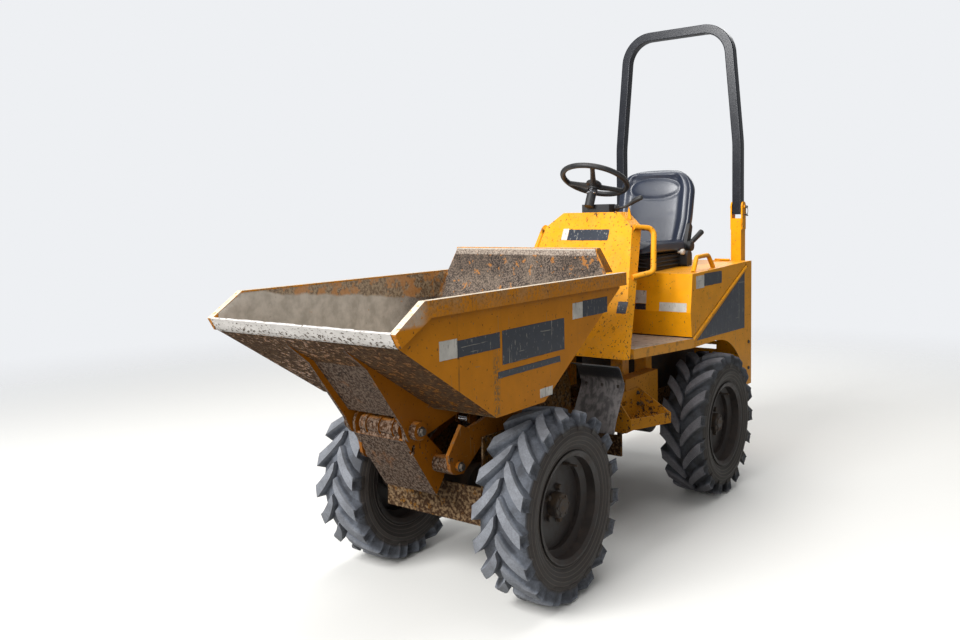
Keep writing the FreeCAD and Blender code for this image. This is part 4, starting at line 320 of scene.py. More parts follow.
def mudguard_sheet():
    """Black sheet whose lower half is a rubber flap under grey dust, streaked downwards."""
    f = Finish("mudguard sheet")
    facing_z = f.split(f.normal)[2]
    height = f.split(f.place)[2]
    flap = f.rise(height, *FLAP_EDGE)
    streaks = f.rise(f.noise(0.02, 4.0, 0.6, stretch=(1, 1, 0.18)), 0.36, 0.62)
    fine = f.noise(0.005, 3.0, 0.6)
    specks = (1.0 - flap) * f.rise(fine, 0.5, 0.75) * 0.35
    film = (streaks * flap * 0.7 + flap * 0.3 + specks + facing_z.clamped() * 0.25).clamped()
    colour = f.mix(fine, rgb("141518"), rgb("26272b"))
    colour = f.mix(film, colour, f.mix(flap, rgb("6f675c"), rgb("8a8482")))
    f.surface(base_color=colour, roughness=(film * 0.4 + 0.4).clamped())
    f.bump(fine * 0.5 + streaks * flap * 0.5, 0.5, 0.001)
    return f.material


def film_skin(name, code, scars, amount):
    """A blank film: scratched, with paint or dirt showing through in streaks."""
    f = Finish(name)
    clouds = f.noise(0.05, 4.0, 0.6)
    worn = f.rise(f.noise(0.010, 3.0, 0.6, stretch=(1, 1, 0.35), shift=2.0) + clouds * 0.15, 0.70, 0.73)
    upright = f.noise(0.012, 2.0, 0.5, stretch=(1, 1, 0.05), shift=6.0)
    level = f.noise(0.012, 2.0, 0.5, stretch=(1, 0.05, 1), shift=9.0)
    lines = f.rise(upright + clouds * 0.12, 0.75, 0.775)
    across = f.rise(level + clouds * 0.12, 0.765, 0.785)
    colour = f.mix(f.rise(clouds, 0.3, 0.7), rgb(code, 0.85), rgb(code, 1.15))
    hurt = (worn * 0.7 + lines + across).clamped()
    f.surface(base_color=f.mix(hurt * amount, colour, rgb(scars)), roughness=(hurt * 0.3 + 0.34).clamped())
    f.bump(1.0 - hurt * 0.6, 0.4, 0.0004)
    return f.material


GUARD_SHEET = mudguard_sheet()
NAVY_FILM = film_skin("navy film", "1b2330", "8f8c82", 0.8)
PALE_FILM = film_skin("pale film", "cbc7be", "6f6252", 0.7)
print("sheet and films:", GUARD_SHEET.name, NAVY_FILM.name, PALE_FILM.name)

# %% [markdown]
# ## The floor plate
# Boots have worn the paint off the floor's top down to bright steel. A mask that reads which way a face looks
# keeps the orange on the edges, where no boot reaches.


# %% Worn floor
def worn_floor():
    """Floor plate: paint walked off the top down to bright steel, orange left at its edges."""
    f = Finish("worn floor")
    facing_z = f.split(f.normal)[2]
    clouds = f.noise(0.10, 5.0, 0.65)
    top = f.rise(facing_z, 0.7, 0.9)
    bare = top * f.rise(clouds, 0.10, 0.26)
    steel = f.mix(f.noise(0.008, 3.0, 0.6), rgb("8f867b"), rgb("cbc3b8"))
    dirt = f.rise(f.noise(0.03, 4.0, 0.65, shift=4.0), 0.5, 0.68)
    colour = f.mix(bare, rgb("d8921f"), steel)
    colour = f.mix(dirt * 0.6, colour, rgb("6f5b45"))
    f.surface(base_color=colour, roughness=(dirt * 0.4 + 0.38).clamped(), metallic=bare * 0.35)
    f.bump(clouds * 0.6 + dirt * 0.4, 0.5, 0.001)
    return f.material


FLOOR_STEEL = worn_floor()
print("floor:", len(FLOOR_STEEL.node_tree.nodes), "nodes")

# %% [markdown]
# ## Dried concrete
# Concrete in the skip is smooth and pale where loads slide out, rough and brown where they lie. It could be
# painted on an image, but places along the skip and some noise say the same in a few lines, at any sharpness.

# %% Dried concrete
# Places in metres: where the rough back starts, the painted-shadow, peeled and folded bands of the raised
# back, and the line on the side walls above which they keep a brown crust.
BACK_Y = (-0.62, -0.30)
SHADE_Z, PEEL_Z = (1.10, 1.20), (1.13, 1.20)
FOLD_Z, FOLD_TOP_Z = (1.233, 1.237), (1.253, 1.260)
CREST_Y, CREST_Z, CREST_FALL = -1.25, 1.155, 0.115


def concrete():
    """Dried concrete and mud: wet-smooth and grey towards the lip, rough and brown at the raised back, with
    painted shadow in patches under its folded top.
    """
    f = Finish("dried concrete")
    along, height = f.split(f.place)[1:]
    facing_x = f.split(f.normal)[0]
    back = f.rise(along, *BACK_Y)
    grains = f.noise(0.0065, 4.0, 0.7)
    lumps = f.noise(0.05, 5.0, 0.6, shift=2.0)
    smooth = f.mix(f.rise(lumps, 0.3, 0.7), rgb("a39b8f"), rgb("c2b9ad"))
    rough = f.mix(f.rise(grains, 0.40, 0.62), rgb("16110c"), rgb("75665a"))
    rough = f.mix(f.rise(f.noise(0.05, 4.0, 0.6, shift=3.0), 0.40, 0.66) * 0.3, rough, rgb("8b7b6a"))
    # Painted shadow: the raised back is darkened in patches below its folded top.
    shade = f.rise(height, *SHADE_Z) * f.rise(f.noise(0.16, 3.0, 0.5, shift=6.0), 0.30, 0.55)
    rough = f.mix(shade * 0.5, rough, f.mix(f.rise(grains, 0.45, 0.65), rgb("140e0b"), rgb("574232")))
    colour = f.mix(back, smooth, rough)
    waver = (f.noise(0.12, 3.0, 0.5, shift=5.0) - 0.5) * 0.05
    crest = CREST_Z - (along - CREST_Y) * CREST_FALL + waver
    wall = f.rise(facing_x.unsigned(), 0.5, 0.9) * f.rise(height - crest, -0.006, 0.006)
    crumbs = f.rise(f.noise(0.012, 4.0, 0.65, shift=5.0), 0.38, 0.62)
    wall_colour = f.mix(crumbs, rgb("5d452d"), rgb("a08a6b"))
    bare_wall = f.rise(f.noise(0.06, 4.0, 0.65, shift=8.0), 0.50, 0.58) * 0.8
    wall_colour = f.mix(bare_wall, wall_colour, rgb("b87a35"))
    colour = f.mix(wall * 0.85, colour, wall_colour)
    chips = f.rise(f.noise(0.011, 3.0, 0.6, shift=1.0), 0.72, 0.74) * (1.0 - back * 0.7)
    colour = f.mix(chips * 0.6, colour, rgb("6a5c48"))
    flakes = f.noise(0.028, 4.0, 0.6, shift=8.0)
    peel = f.rise(flakes + back * 0.05 + f.rise(height, *PEEL_Z) * 0.05, 0.69, 0.72)
    colour = f.mix(peel * 0.6, colour, rgb("b07026"))
    fold = f.rise(height, *FOLD_Z)
    fold_colour = f.mix(f.rise(grains, 0.38, 0.62), rgb("5c5048"), rgb("a89a8c"))
    fold_colour = f.mix(f.rise(height, *FOLD_TOP_Z) * 0.7, fold_colour, rgb("cbc3b4"))
    colour = f.mix(fold * 0.9, colour, fold_colour)
    f.surface(base_color=colour, roughness=(back * 0.35 + wall * 0.3 + lumps * 0.3 + 0.38).clamped())
    f.bump(grains * (back * 0.9 + wall * 0.5 + 0.12) + lumps * 0.7, 0.8, 0.0025)
    return f.material


CONCRETE = concrete()
CHIPPED_Z = (1.068, 1.048)


def lip_concrete():
    """Splashed pale concrete that is chipped down to dark dirt."""
    f = Finish("pale concrete", roughness=0.85)
    height = f.split(f.place)[2]
    lumps = f.noise(0.009, 4.0, 0.65, stretch=(0.7, 1, 1))
    chips = f.rise(lumps + f.rise(height, *CHIPPED_Z) * 0.07, 0.60, 0.64)
    colour = f.mix(f.noise(0.04, 3.0), rgb("a8a49f"), rgb("d4d0cb"))
    f.surface(base_color=f.mix(chips, colour, rgb("4b4136")))
    f.bump(lumps, 0.8, 0.002)
    return f.material


LIP_CONCRETE = lip_concrete()
for finish in (CONCRETE, LIP_CONCRETE):
    print(finish.name + ":", len(finish.node_tree.nodes), "nodes")

# %% [markdown]
# ## Tyre rubber
# Lug tops are scuffed pale, grooves hold dirt, the lugs' flanks and the groove floors are darkened as
# painted shade, and sidewalls stay dark. All of these are rings round the axle, so the finish measures each
# point's distance from the axle and needs no painted map.

# %% Tyre rubber
# Distances from the axle in metres: where the tread starts, the lugs' tops and flanks, the sidewall's rings.
TREAD_START, LUG_TOPS = (0.290, 0.306), (0.331, 0.343)
LUG_FLANKS, RINGS_END = (0.338, 0.326), (0.292, 0.284)
RING_PACE = 420.0


def rubber(name, centre_y, centre_z, lug_code, groove_code, side_code, dust):
    """Tyre rubber, told apart by its distance from the axle: sidewall, tread grooves, lug tops."""
    f = Finish(name)
    y, z = f.split(f.place)[1:]
    radius = ((y - centre_y) ** 2.0 + (z - centre_z) ** 2.0) ** 0.5
    clouds = f.noise(0.06, 5.0, 0.62)
    fine = f.noise(0.006, 3.0, 0.6, shift=3.0)
    tread = f.rise(radius, *TREAD_START)
    top = f.rise(radius, *LUG_TOPS)
    flank = tread * f.rise(radius, *LUG_FLANKS)
    colour = f.mix(tread, rgb(side_code), rgb(groove_code))
    film = f.rise(clouds, 0.36, 0.62) * dust
    colour = f.mix(film, colour, f.mix(tread, rgb("332c27"), rgb("868d99")))
    # Painted shade between the lugs: their flanks and the groove floors are darkened.
    colour = f.mix(flank * 0.45, colour, rgb(side_code, 0.55))
    colour = f.mix(top, colour, f.mix(f.rise(clouds, 0.35, 0.65), rgb(lug_code, 0.8), rgb(lug_code, 1.15)))
    ripple = radius * RING_PACE
    rings = f.rise(ripple.maths("SINE", ripple), 0.6, 0.95) * f.rise(radius, *RINGS_END)
    colour = f.mix(rings * 0.35, colour, rgb("6d635a"))
    colour = f.mix((fine - 0.35).clamped() * 0.8, colour, rgb(side_code, 0.6))
    f.surface(base_color=colour, roughness=(clouds * 0.25 + 0.6).clamped())
    f.bump(fine * 0.7 + clouds * 0.3 + rings * 0.3, 0.5, 0.001)
    return f.material


print("metres from the axle to the tread's start", TREAD_START, "and to the lugs' tops", LUG_TOPS)

# %% [markdown]
# ## Seat vinyl
# The seat's skin is black vinyl with a pressed grain, tinted blue as painted reflection of the sky. Small
# round cells give the grain as bump, and a thin coat over it gives the soft gloss.


# %% Seat vinyl
def seat_vinyl():
    """Black vinyl tinted blue as painted sky reflection, with a fine grain and pale blue patches that are a
    little dust and partly painted reflection.
    """
    f = Finish("seat vinyl", coat_weight=0.35, coat_roughness=0.25)
    pores = f.cells(0.0022)
    clouds = f.noise(0.08, 3.0)
    film = f.rise(clouds, 0.5, 0.8) * 0.12
    # Painted reflection: the blue in the base and in the pale patches stands for the sky; the patches are
    # also a little dust.
    colour = f.mix(film, rgb("1d2536"), rgb("545d74"))
    f.surface(base_color=colour, roughness=(clouds * 0.2 + film + 0.28).clamped())
    f.bump(pores * 0.6 + clouds * 0.15, 0.2, 0.0004)
    return f.material


VINYL = seat_vinyl()
print("seat:", VINYL.name)

# %% [markdown]
# ## Dressing the CAD nodes
# Most rigid parts are right as the CAD gives them, so they keep their meshes and only get a finish.
# A table says which finish goes to which node.

# %% Finishes for the CAD nodes
NODE_FINISHES = (
    (SKIP_PAINT, "skip_shell"),
    (NOSE_PAINT, "skip_brackets nose_frame"),
    (SHADED_ARM_PAINT, "lift_arms level_links"),
    (FRAME_PAINT, "front_frame rear_frame"),
    (TRAY_PAINT, "side_tanks steps"),
    (SPECKLED, "console"),
    (ORANGE, "side_panels rear_panel engine_cover rops_posts"),
    (FLOOR_STEEL, "floor_plate"),
    (GUARD_SHEET, "mudguards"),
    (BLACK_PAINT, "rops_hoop"),
    (RIM_PAINT, "rim_front_left rim_front_right rim_rear_left rim_rear_right"),
    (CASTING, "front_axle rear_axle centre_pivot engine_block lift_cylinder tip_cylinder steer_cylinder"),
    (CHROME, "lift_rod tip_rod steer_rod"),
    (PLASTIC, "steering_wheel steering_column direction_lever pedals seat_base"),
    (VINYL, "seat_cushion seat_back"),
    (PLASTIC, "tyre_front_left tyre_front_right tyre_rear_left tyre_rear_right"),
)
for finish, names in NODE_FINISHES:
    for name in names.split():
        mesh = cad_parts[name].data
        mesh.materials.clear()
        mesh.materials.append(finish)
print("nodes dressed:", sum(len(names.split()) for finish, names in NODE_FINISHES), "of", len(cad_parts))

# %% [markdown]
# ## A workshop for new pieces
# Every new piece is skinned between rows of points, which suits turned, bent and padded forms alike.
# The class below keeps one mesh in millimetres and turns it into an object that rides on a body.


# %% The shape class
def circle(sides):
    """Unit circle points as (cosine, sine)."""
    return [(math.cos(math.tau * i / sides), math.sin(math.tau * i / sides)) for i in range(sides)]


class Shape:
    """A mesh in the making, in millimetres."""

    def __init__(self):
        self.mesh = bmesh.new()

    def skin(self, rows, closed=True, caps=True, loop=False):
        """Faces between rows of points; closed joins a row's ends, loop the last row to the first."""
        made = [[self.mesh.verts.new(Vector(point) * MM) for point in row] for row in rows]
        count = len(made[0])
        pairs = list(zip(made, made[1:]))
        if loop:
            pairs.append((made[-1], made[0]))
        for low, high in pairs:
            for i in range(count if closed else count - 1):
                j = (i + 1) % count
                self.mesh.faces.new((low[i], low[j], high[j], high[i]))
        if caps and closed and not loop:
            self.mesh.faces.new(list(reversed(made[0])))
            self.mesh.faces.new(made[-1])

    def turned(self, profile, at, way, sides):
        """A round piece: each (radius, height) is a ring about the line from at along way."""
        turn = Vector(way).to_track_quat("Z", "Y").to_matrix()
        origin = Vector(at)
        rows = [
            [origin + turn @ Vector((radius * c, radius * s, height)) for c, s in circle(sides)]
            for radius, height in profile
        ]
        self.skin(rows)

    def bolt(self, at, way, across, tall, washer=True):
        """A hexagon head on its washer."""
        if washer:
            self.turned(((across * 0.72, 0), (across * 0.72, 2.0), (across * 0.66, 2.6)), at, way, 20)
        base = Vector(at) + Vector(way).normalized() * 2
        half = across / math.sqrt(3)
        self.turned(((half, 0), (half, tall * 0.8), (half * 0.86, tall)), base, way, 6)

    def prism(self, outline, low, high):
        """A plate: an outline of y and z, extruded from one x to another."""
        self.skin([[(x, y, z) for y, z in outline] for x in (low, high)])

    def tube(self, path, radius, sides, loop=False):
        """A round bar along a smooth path of points; radius is one number or one for each point."""
        spots = [Vector(point) for point in path]
        count = len(spots)
        rows = []
        across = None
        for i, spot in enumerate(spots):
            before = spots[i - 1] if i or loop else spot
            after = spots[(i + 1) % count] if i < count - 1 or loop else spot
            way = (after - before).normalized()
            if across is None:
                across = way.orthogonal().normalized()
            across = (across - way * across.dot(way)).normalized()
            up = way.cross(across)
            size = radius[i] if isinstance(radius, (list, tuple)) else radius
            rows.append([spot + (across * c + up * s) * size for c, s in circle(sides)])
        self.skin(rows, loop=loop)

    def soften(self, width, angle=38):
        """Round every edge that is sharper than an angle."""
        least = math.radians(angle)
        sharp = [edge for edge in self.mesh.edges if edge.is_manifold and edge.calc_face_angle(0.0) > least]
        bmesh.ops.bevel(
            self.mesh, geom=sharp, offset=width * MM, segments=2, profile=0.5,
            affect="EDGES", clamp_overlap=True,
        )

    def piece(self, name, body, finish, smooth=35, replaces=(), slot=None):
        """Turn the mesh into an object that rides on a body."""
        bmesh.ops.recalc_face_normals(self.mesh, faces=self.mesh.faces)
        data = bpy.data.meshes.new(name)
        self.mesh.to_mesh(data)
        self.mesh.free()
        data.shade_smooth()
        data.set_sharp_from_angle(angle=math.radians(smooth))
        data.materials.append(finish)
        made = bpy.data.objects.new(name, data)
        bpy.context.scene.collection.objects.link(made)
        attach(made, body)
        if replaces:
            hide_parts(*replaces)
        print(name, "on", body + ":", len(data.polygons), "faces")
        return made


print("ways to make a shape:", ", ".join(word for word in vars(Shape) if not word.startswith("_")))

# %% [markdown]
# ## Tyres
# A dumper runs on tractor tyres: a round carcass with tall lugs that sweep from the middle to the shoulder.
# The lugs could be cut by booleans, but lofting each one along its own curve keeps clean edges for the bevel.
# The front tyres are mounted the other way round from the rear ones, so their lugs lean the opposite way.

# %% Tyres
LUGS = 17
LUG_SWEEP = 117
LUG_TOP = 52
LUG_FOOT = 15
# How far out the carcass is measured for a lug's foot and how far the foot reaches, and how deep it sinks in.
FOOT_EDGE, FOOT_REACH, FOOT_SINK = 101, 103, 4
CARCASS_TURNS = 136
# Wear of the lugs: its waves to a metre, and its depth in metres.
WEAR_PACE, WEAR_DEPTH = 30, 0.0008
# Distance from the middle, and depth below the tops of the lugs.
CARCASS = (
    (0, 27), (42, 29), (74, 36), (93, 50), (101, 68), (103, 86), (104.4, 89), (104.4, 93), (102.5, 96),
    (100, 112), (95, 126), (90, 134), (91, 138), (88, 143), (87, 158),
)
# Share of the sweep, distance from the middle, depth of the top, share of the full width, hollow at the end.
LUG_STEPS = (
    (0.00, 3, 0.5, 0.62, 0), (0.14, 13, 0, 0.96, 0), (0.42, 35, 1, 1, 0), (0.60, 52, 2, 1, 0),
    (0.77, 70, 3, 1, 0), (0.92, 88, 5, 1, 0), (1.00, 100, 7.5, 1, 0), (1.02, 105.5, 13, 0.97, 9),
    (1.03, 107.2, 26, 0.93, 12), (1.03, 107.2, 42, 0.88, 8), (1.03, 104, 48, 0.86, 3),
)


def lerp(a, b, share):
    return a + (b - a) * share


def centre_of(node):
    """Middle of a node's box and half its size, both in millimetres."""
    low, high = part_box(node)
    low, high = Vector(low), Vector(high)
    return (low + high) / 2 / MM, (high - low) / 2 / MM


def carcass_drop(across):
    """Depth of the carcass below the lug tops at a distance from the middle."""
    for (x0, d0), (x1, d1) in zip(CARCASS, CARCASS[1:]):
        if x0 <= across <= x1:
            return lerp(d0, d1, (across - x0) / max(x1 - x0, 0.001))
    return 60.0


def tyre(place, lean, finish):
    """One tyre; lean is the way its lugs sweep. The lugs stand where the CAD tyre has its own."""
    centre, half = centre_of(f"tyre_{place}")
    radius = half.z
    outer = 1 if place.endswith("left") else -1

    def spot(across, drop, arc):
        angle = arc / radius
        reach = radius - drop
        return centre + Vector((across, -reach * math.cos(angle), reach * math.sin(angle)))

    body = Shape()
    profile = [(x, drop) for x, drop in CARCASS] + [(-x, drop) for x, drop in reversed(CARCASS[1:])]
    rows = [
        [spot(x, drop, math.tau * radius * turn / CARCASS_TURNS) for x, drop in profile]
        for turn in range(CARCASS_TURNS)
    ]
    body.skin(rows, loop=True)
    pitch = math.tau * radius / LUGS
    lugs = Shape()
    for number in range(2 * LUGS):
        side = outer if number % 2 == 0 else -outer
        start = -math.pi / 2 * radius + number * pitch / 2
        rows = []
        for share, across, drop, width, hollow in LUG_STEPS:
            top = LUG_TOP / 2 * width
            foot = top + LUG_FOOT * (1 if across < 100 and drop < 20 else 0.35)
            foot_drop = max(carcass_drop(min(across, FOOT_EDGE)) + FOOT_SINK, drop + 2 * FOOT_SINK)
            middle = start + lean * LUG_SWEEP * share
            rows.append([
                spot(side * min(across, FOOT_REACH), foot_drop, middle - foot),
                spot(side * across, drop, middle - top),
                spot(side * (across - hollow), drop + hollow * 0.25, middle - top * 0.42),
                spot(side * (across - hollow), drop + hollow * 0.25, middle + top * 0.42),
                spot(side * across, drop, middle + top),
                spot(side * min(across, FOOT_REACH), foot_drop, middle + foot),
            ])
        lugs.skin(rows)
    lugs.soften(1.8, angle=42)
    wear = random.Random(place)
    shift = Vector([wear.uniform(0, 9) for axis in range(3)])
    for vert in lugs.mesh.verts:
        worn = noise.noise(vert.co * WEAR_PACE + shift) * WEAR_DEPTH
        vert.co += (vert.co - centre * MM).normalized() * worn
    data = bpy.data.meshes.new("lugs")
    bmesh.ops.recalc_face_normals(lugs.mesh, faces=lugs.mesh.faces)
    lugs.mesh.to_mesh(data)
    lugs.mesh.free()
    body.mesh.from_mesh(data)
    bpy.data.meshes.remove(data)
    body.piece(
        f"tread_{place}", f"wheel_{place}", finish, smooth=28, replaces=[f"tyre_{place}"], slot="tyre",
    )


front_hub, _ = centre_of("tyre_front_left")
rear_hub, _ = centre_of("tyre_rear_left")
FRONT_RUBBER = rubber("front rubber", front_hub.y * MM, front_hub.z * MM, "777a80", "474c55", "2b2725", 0.7)
REAR_RUBBER = rubber("rear rubber", rear_hub.y * MM, rear_hub.z * MM, "68676b", "2a2c31", "26231f", 0.3)
for place, lean, finish in (
    ("front_left", -1, FRONT_RUBBER),
    ("front_right", -1, FRONT_RUBBER),
    ("rear_left", 1, REAR_RUBBER),
    ("rear_right", 1, REAR_RUBBER),
):
    tyre(place, lean, finish)

# %% [markdown]
# ## Wheel centres
# The rims are the CAD's. The nuts, the hub's cap and the valve are small turned pieces, so they come here.

# %% Wheel nuts and caps
NUT_CIRCLE, CAP_CIRCLE = 63, 36
DISC_FACE = 20
SPIGOT_END = 51.7
CAP_GAP = 0.8
VALVE_REACH, VALVE_OUT, VALVE_TURN = 150, 40, 1.1
for place in ("front_left", "front_right", "rear_left", "rear_right"):
    side = 1 if place.endswith("left") else -1
    centre, _ = centre_of(f"tyre_{place}")
    way = Vector((side, 0, 0))
    trim = Shape()
    for c, s in circle(5):
        trim.bolt(centre + way * DISC_FACE + Vector((0, NUT_CIRCLE * c, NUT_CIRCLE * s)), way, 20, 14)
    face = centre + way * (SPIGOT_END + CAP_GAP)
    trim.turned(((44, 0), (43, 3), (30, 5), (28, 9), (0.5, 10)), face, way, 36)
    for c, s in circle(6):
        trim.bolt(face + way * 3 + Vector((0, CAP_CIRCLE * c, CAP_CIRCLE * s)), way, 8, 4, washer=False)
    turn = Vector((0, math.cos(VALVE_TURN), math.sin(VALVE_TURN)))
    valve = centre + way * VALVE_OUT + turn * VALVE_REACH
    trim.turned(((6, -20), (6, 0), (4, 4), (4, 26), (4.6, 27), (4.6, 38), (3, 40)), valve, way, 14)
    trim.piece(f"wheel_nuts_{place}", f"wheel_{place}", CASTING, slot="cast")

# %% [markdown]
# ## Dried concrete in the skip
# Loads have left a crust that fills the skip's corners and hides the sheet. It is smooth near the lip and
# rough at the raised back. One sheet is laid along the inside of the skip, row by row, from one rim across
# the floor to the other, and noise that is the same each run gives it its thickness.

# %% The crust
SKIP = {
    "lip": (-1413, 1046), "apex": (-939, 746), "flat_end": (-646, 746), "back_foot": (-176, 1043),
    "head": (-166, 1262),
}
WALL_IN = 404.2
HEAD_IN = 350
RIM_TOP, RIM_LOW = 1157, 1078
RIM_FRONT, RIM_END = -1310, -1440
FILLET = 34.0
WALL_STEPS, FILLET_STEPS, FLOOR_STEPS = 10, 6, 44
CRUST_STEP = 13
# The crust's thickness on the walls and elsewhere, and how much coarse and fine noise adds to it.
WALL_CRUST, FLOOR_CRUST = 3.6, 6.0
COARSE, FINE = 2.6, 0.8
# How gritty the crust is from this y to the back, and in front of it.
ROUGH_FROM, ROUGH_GRIT, SMOOTH_GRIT = -560, 1.4, 0.25


def bent(points, bends, step):
    """Points about a step apart along a polyline whose inner corners are rounded."""
    spots = [Vector(point) for point in points]
    path = [spots[0]]
    for before, corner, after, reach in zip(spots, spots[1:], spots[2:], bends):
        start = corner + (before - corner).normalized() * reach
        end = corner + (after - corner).normalized() * reach
        path += [start.lerp(corner, t).lerp(corner.lerp(end, t), t) for t in (0, 0.2, 0.4, 0.6, 0.8, 1)]
    path.append(spots[-1])
    dense = []
    for a, b in zip(path, path[1:]):
        steps = max(1, round((b - a).length / step))
        dense += [a.lerp(b, i / steps) for i in range(steps)]
    return dense + [path[-1]]


def crust_rows():
    """Rows of points from rim to rim, one for each place along the skip."""
    line = bent(SKIP.values(), (40, 90, 166), CRUST_STEP)
    rows = []
    for i, (y, z) in enumerate(line):
        before, after = line[max(i - 1, 0)], line[min(i + 1, len(line) - 1)]
        way = (after - before).normalized()
        lift = Vector((0, -way.y, way.x))
        share = max(0.0, min(1.0, (z - RIM_TOP) / (SKIP["head"][1] - RIM_TOP)))
        half = lerp(WALL_IN, HEAD_IN, share)
        rim = RIM_TOP
        if y <= RIM_FRONT:
            rim = lerp(RIM_LOW, RIM_TOP, (y - RIM_END) / (RIM_FRONT - RIM_END))
        wall = max(0.0, rim - z)
        fillet = min(FILLET, wall)
        inner = half - fillet
        row = []
        for k in range(WALL_STEPS + 1):
            row.append((half, z + fillet + (wall - fillet) * (1 - k / WALL_STEPS), 1.0))
        for k in range(1, FILLET_STEPS + 1):
            angle = math.pi / 2 * k / FILLET_STEPS
            row.append((inner + fillet * math.cos(angle), z + fillet - fillet * math.sin(angle), 0.5))
        one_side = list(row)
        row += [(inner * (1 - 2 * k / FLOOR_STEPS), z, 0.0) for k in range(1, FLOOR_STEPS)]
        row += [(-x, height, side) for x, height, side in reversed(one_side)]
        made = []
        for n, (x, height, side) in enumerate(row):
            spot = Vector((x, y, height))
            inward = Vector((-math.copysign(1, x), 0, 0)) if side else Vector()
            out = (lift * (1 - side) + inward * side).normalized()
            coarse = noise.noise(spot * 0.008 + Vector((3, 5, 7)))
            fine = noise.noise(spot * 0.05)
            grit = noise.noise(spot * 0.16) * (ROUGH_GRIT if y > ROUGH_FROM else SMOOTH_GRIT)
            thick = (WALL_CRUST if side == 1.0 else FLOOR_CRUST) + COARSE * coarse + FINE * fine + grit
            edge = min(n, len(row) - 1 - n, i, len(line) - 1 - i)
            made.append(spot + out * max(0.4, thick * min(1.0, 0.1 + edge * 0.45)))
        rows.append(made)
    return rows


crust = Shape()
crust.skin(crust_rows(), closed=False)
crust.piece("skip_crust", "skip", CONCRETE, smooth=60)

# %% [markdown]
# The lip has taken the most concrete: a pale, lumpy band covers its folded face. It is a second skin, bent
# over one section and swollen by noise.

# %% The lip's crust
LIP_HALF, LIP_STEPS = 411, 120
# The lip's section as y and z, up its outer face and down its inner one.
LIP_SECTION = (
    (-1416, 1036), (-1419, 1042), (-1427, 1056), (-1436, 1072), (-1441, 1080),
    (-1437, 1083), (-1430, 1083), (-1424, 1080), (-1416, 1052), (-1404, 1044),
)
LIP_OUTER = 5
LIP_SUNK = -6


def lip_row(x):
    """The section at one x, swollen by noise, with both ends sunk into the sheet."""
    row = []
    for k, (y, z) in enumerate(LIP_SECTION):
        spot = Vector((x, y, z))
        bulge = 0.9 + 1.6 * noise.noise(spot * 0.03) + 0.9 * noise.noise(spot * 0.11)
        if k in (0, len(LIP_SECTION) - 1):
            bulge = LIP_SUNK
        out = Vector((0, -0.9, 0.3)) if k < LIP_OUTER else Vector((0, 0.3, 0.9))
        row.append(spot + out * bulge)
    return row


lip = Shape()
rows = [lip_row(lerp(-LIP_HALF, LIP_HALF, i / LIP_STEPS)) for i in range(LIP_STEPS + 1)]
lip.skin(rows, closed=False)
lip.piece("lip_crust", "skip", LIP_CONCRETE, smooth=60)

# %% [markdown]
# ## The seat
# The seat is foam moulded in one glossy skin: a tombstone backrest with raised bolsters round a smooth
# panel, an oval head panel, and a cushion with a rolled front edge. A moulded skin has no loose cover to
# drape, so both pads are lofted through rows of sections, and the panel, the bolsters and the seams are
# offsets on those rows.

# %% Backrest
SEAT_BODY = "engine_cover"
BACK_FOOT = Vector((0, 1010, 1186))
BACK_UP = Vector((0, 98, 413)).normalized()
BACK_BEHIND = Vector((0, 413, -98)).normalized()
BACK_TALL = 456
BACK_HALF = 213
TOP_CORNER = 128
LOW_CORNER = 58
BACK_LEVELS, BACK_SIDES = 84, 104
# The head panel's half width, half height and height up the backrest.
HEAD_WIDE, HEAD_TALL, HEAD_UP = 146, 58, 352
# How deep the panel, the head panel's seam, its swell and the seam beside the bolsters are.
PANEL_DEEP, SEAM_DEEP, PILLOW_DEEP, EDGE_DEEP = 17, 5, 6, 3.5
# The pad's thickness in its middle and at its ends.
BACK_THICK, BACK_THIN = 82, 20


def smooth(low, high, value):
    """A smooth step from 0 at low to 1 at high."""
    share = min(1.0, max(0.0, (value - low) / (high - low)))
    return share * share * (3 - 2 * share)


def signed_power(value, power):
    """A power that keeps the sign; under 1 it turns a circle into a rounded square."""
    return math.copysign(abs(value) ** power, value)


def corner_cut(room, corner):
    """How much a rounded corner takes off a side, at a distance from the end."""
    return corner - math.sqrt(max(0.0, corner ** 2 - (corner - room) ** 2))


def eased(count):
    """Shares from 0 to 1 that lie closer together at both ends."""
    return [0.5 - 0.5 * math.cos(math.pi * i / count) for i in range(count + 1)]


def back_half(up):
    """Half width of the tombstone at a height up the backrest."""
    half = lerp(186, BACK_HALF, smooth(0, 0.45, up / BACK_TALL))
    for room, corner in ((BACK_TALL - up, TOP_CORNER), (up, LOW_CORNER)):
        if room < corner:
            half -= corner_cut(room, corner)
    return half


def back_dish(across, up):
    """How far the front face lies behind the bolsters: the panel, the head panel and its seam."""
    share = abs(across) / max(back_half(up), 1)
    inside = (1 - smooth(0.64, 0.82, share)) * smooth(0, 50, up) * (1 - smooth(400, 446, up))
    oval = math.hypot(across / HEAD_WIDE, (up - HEAD_UP) / HEAD_TALL)
    seam = SEAM_DEEP * math.exp(-(((oval - 1) / 0.06) ** 2))
    pillow = PILLOW_DEEP * max(0.0, 1 - oval ** 2) ** 0.6
    edge = EDGE_DEEP * math.exp(-(((share - 0.93) / 0.02) ** 2))
    return PANEL_DEEP * inside + seam - pillow + edge


def pad_rows(levels, sides, spot):
    """Rows of closed sections; spot gives the point for a level and a turn."""
    return [[spot(level, math.tau * i / sides) for i in range(sides)] for level in levels]


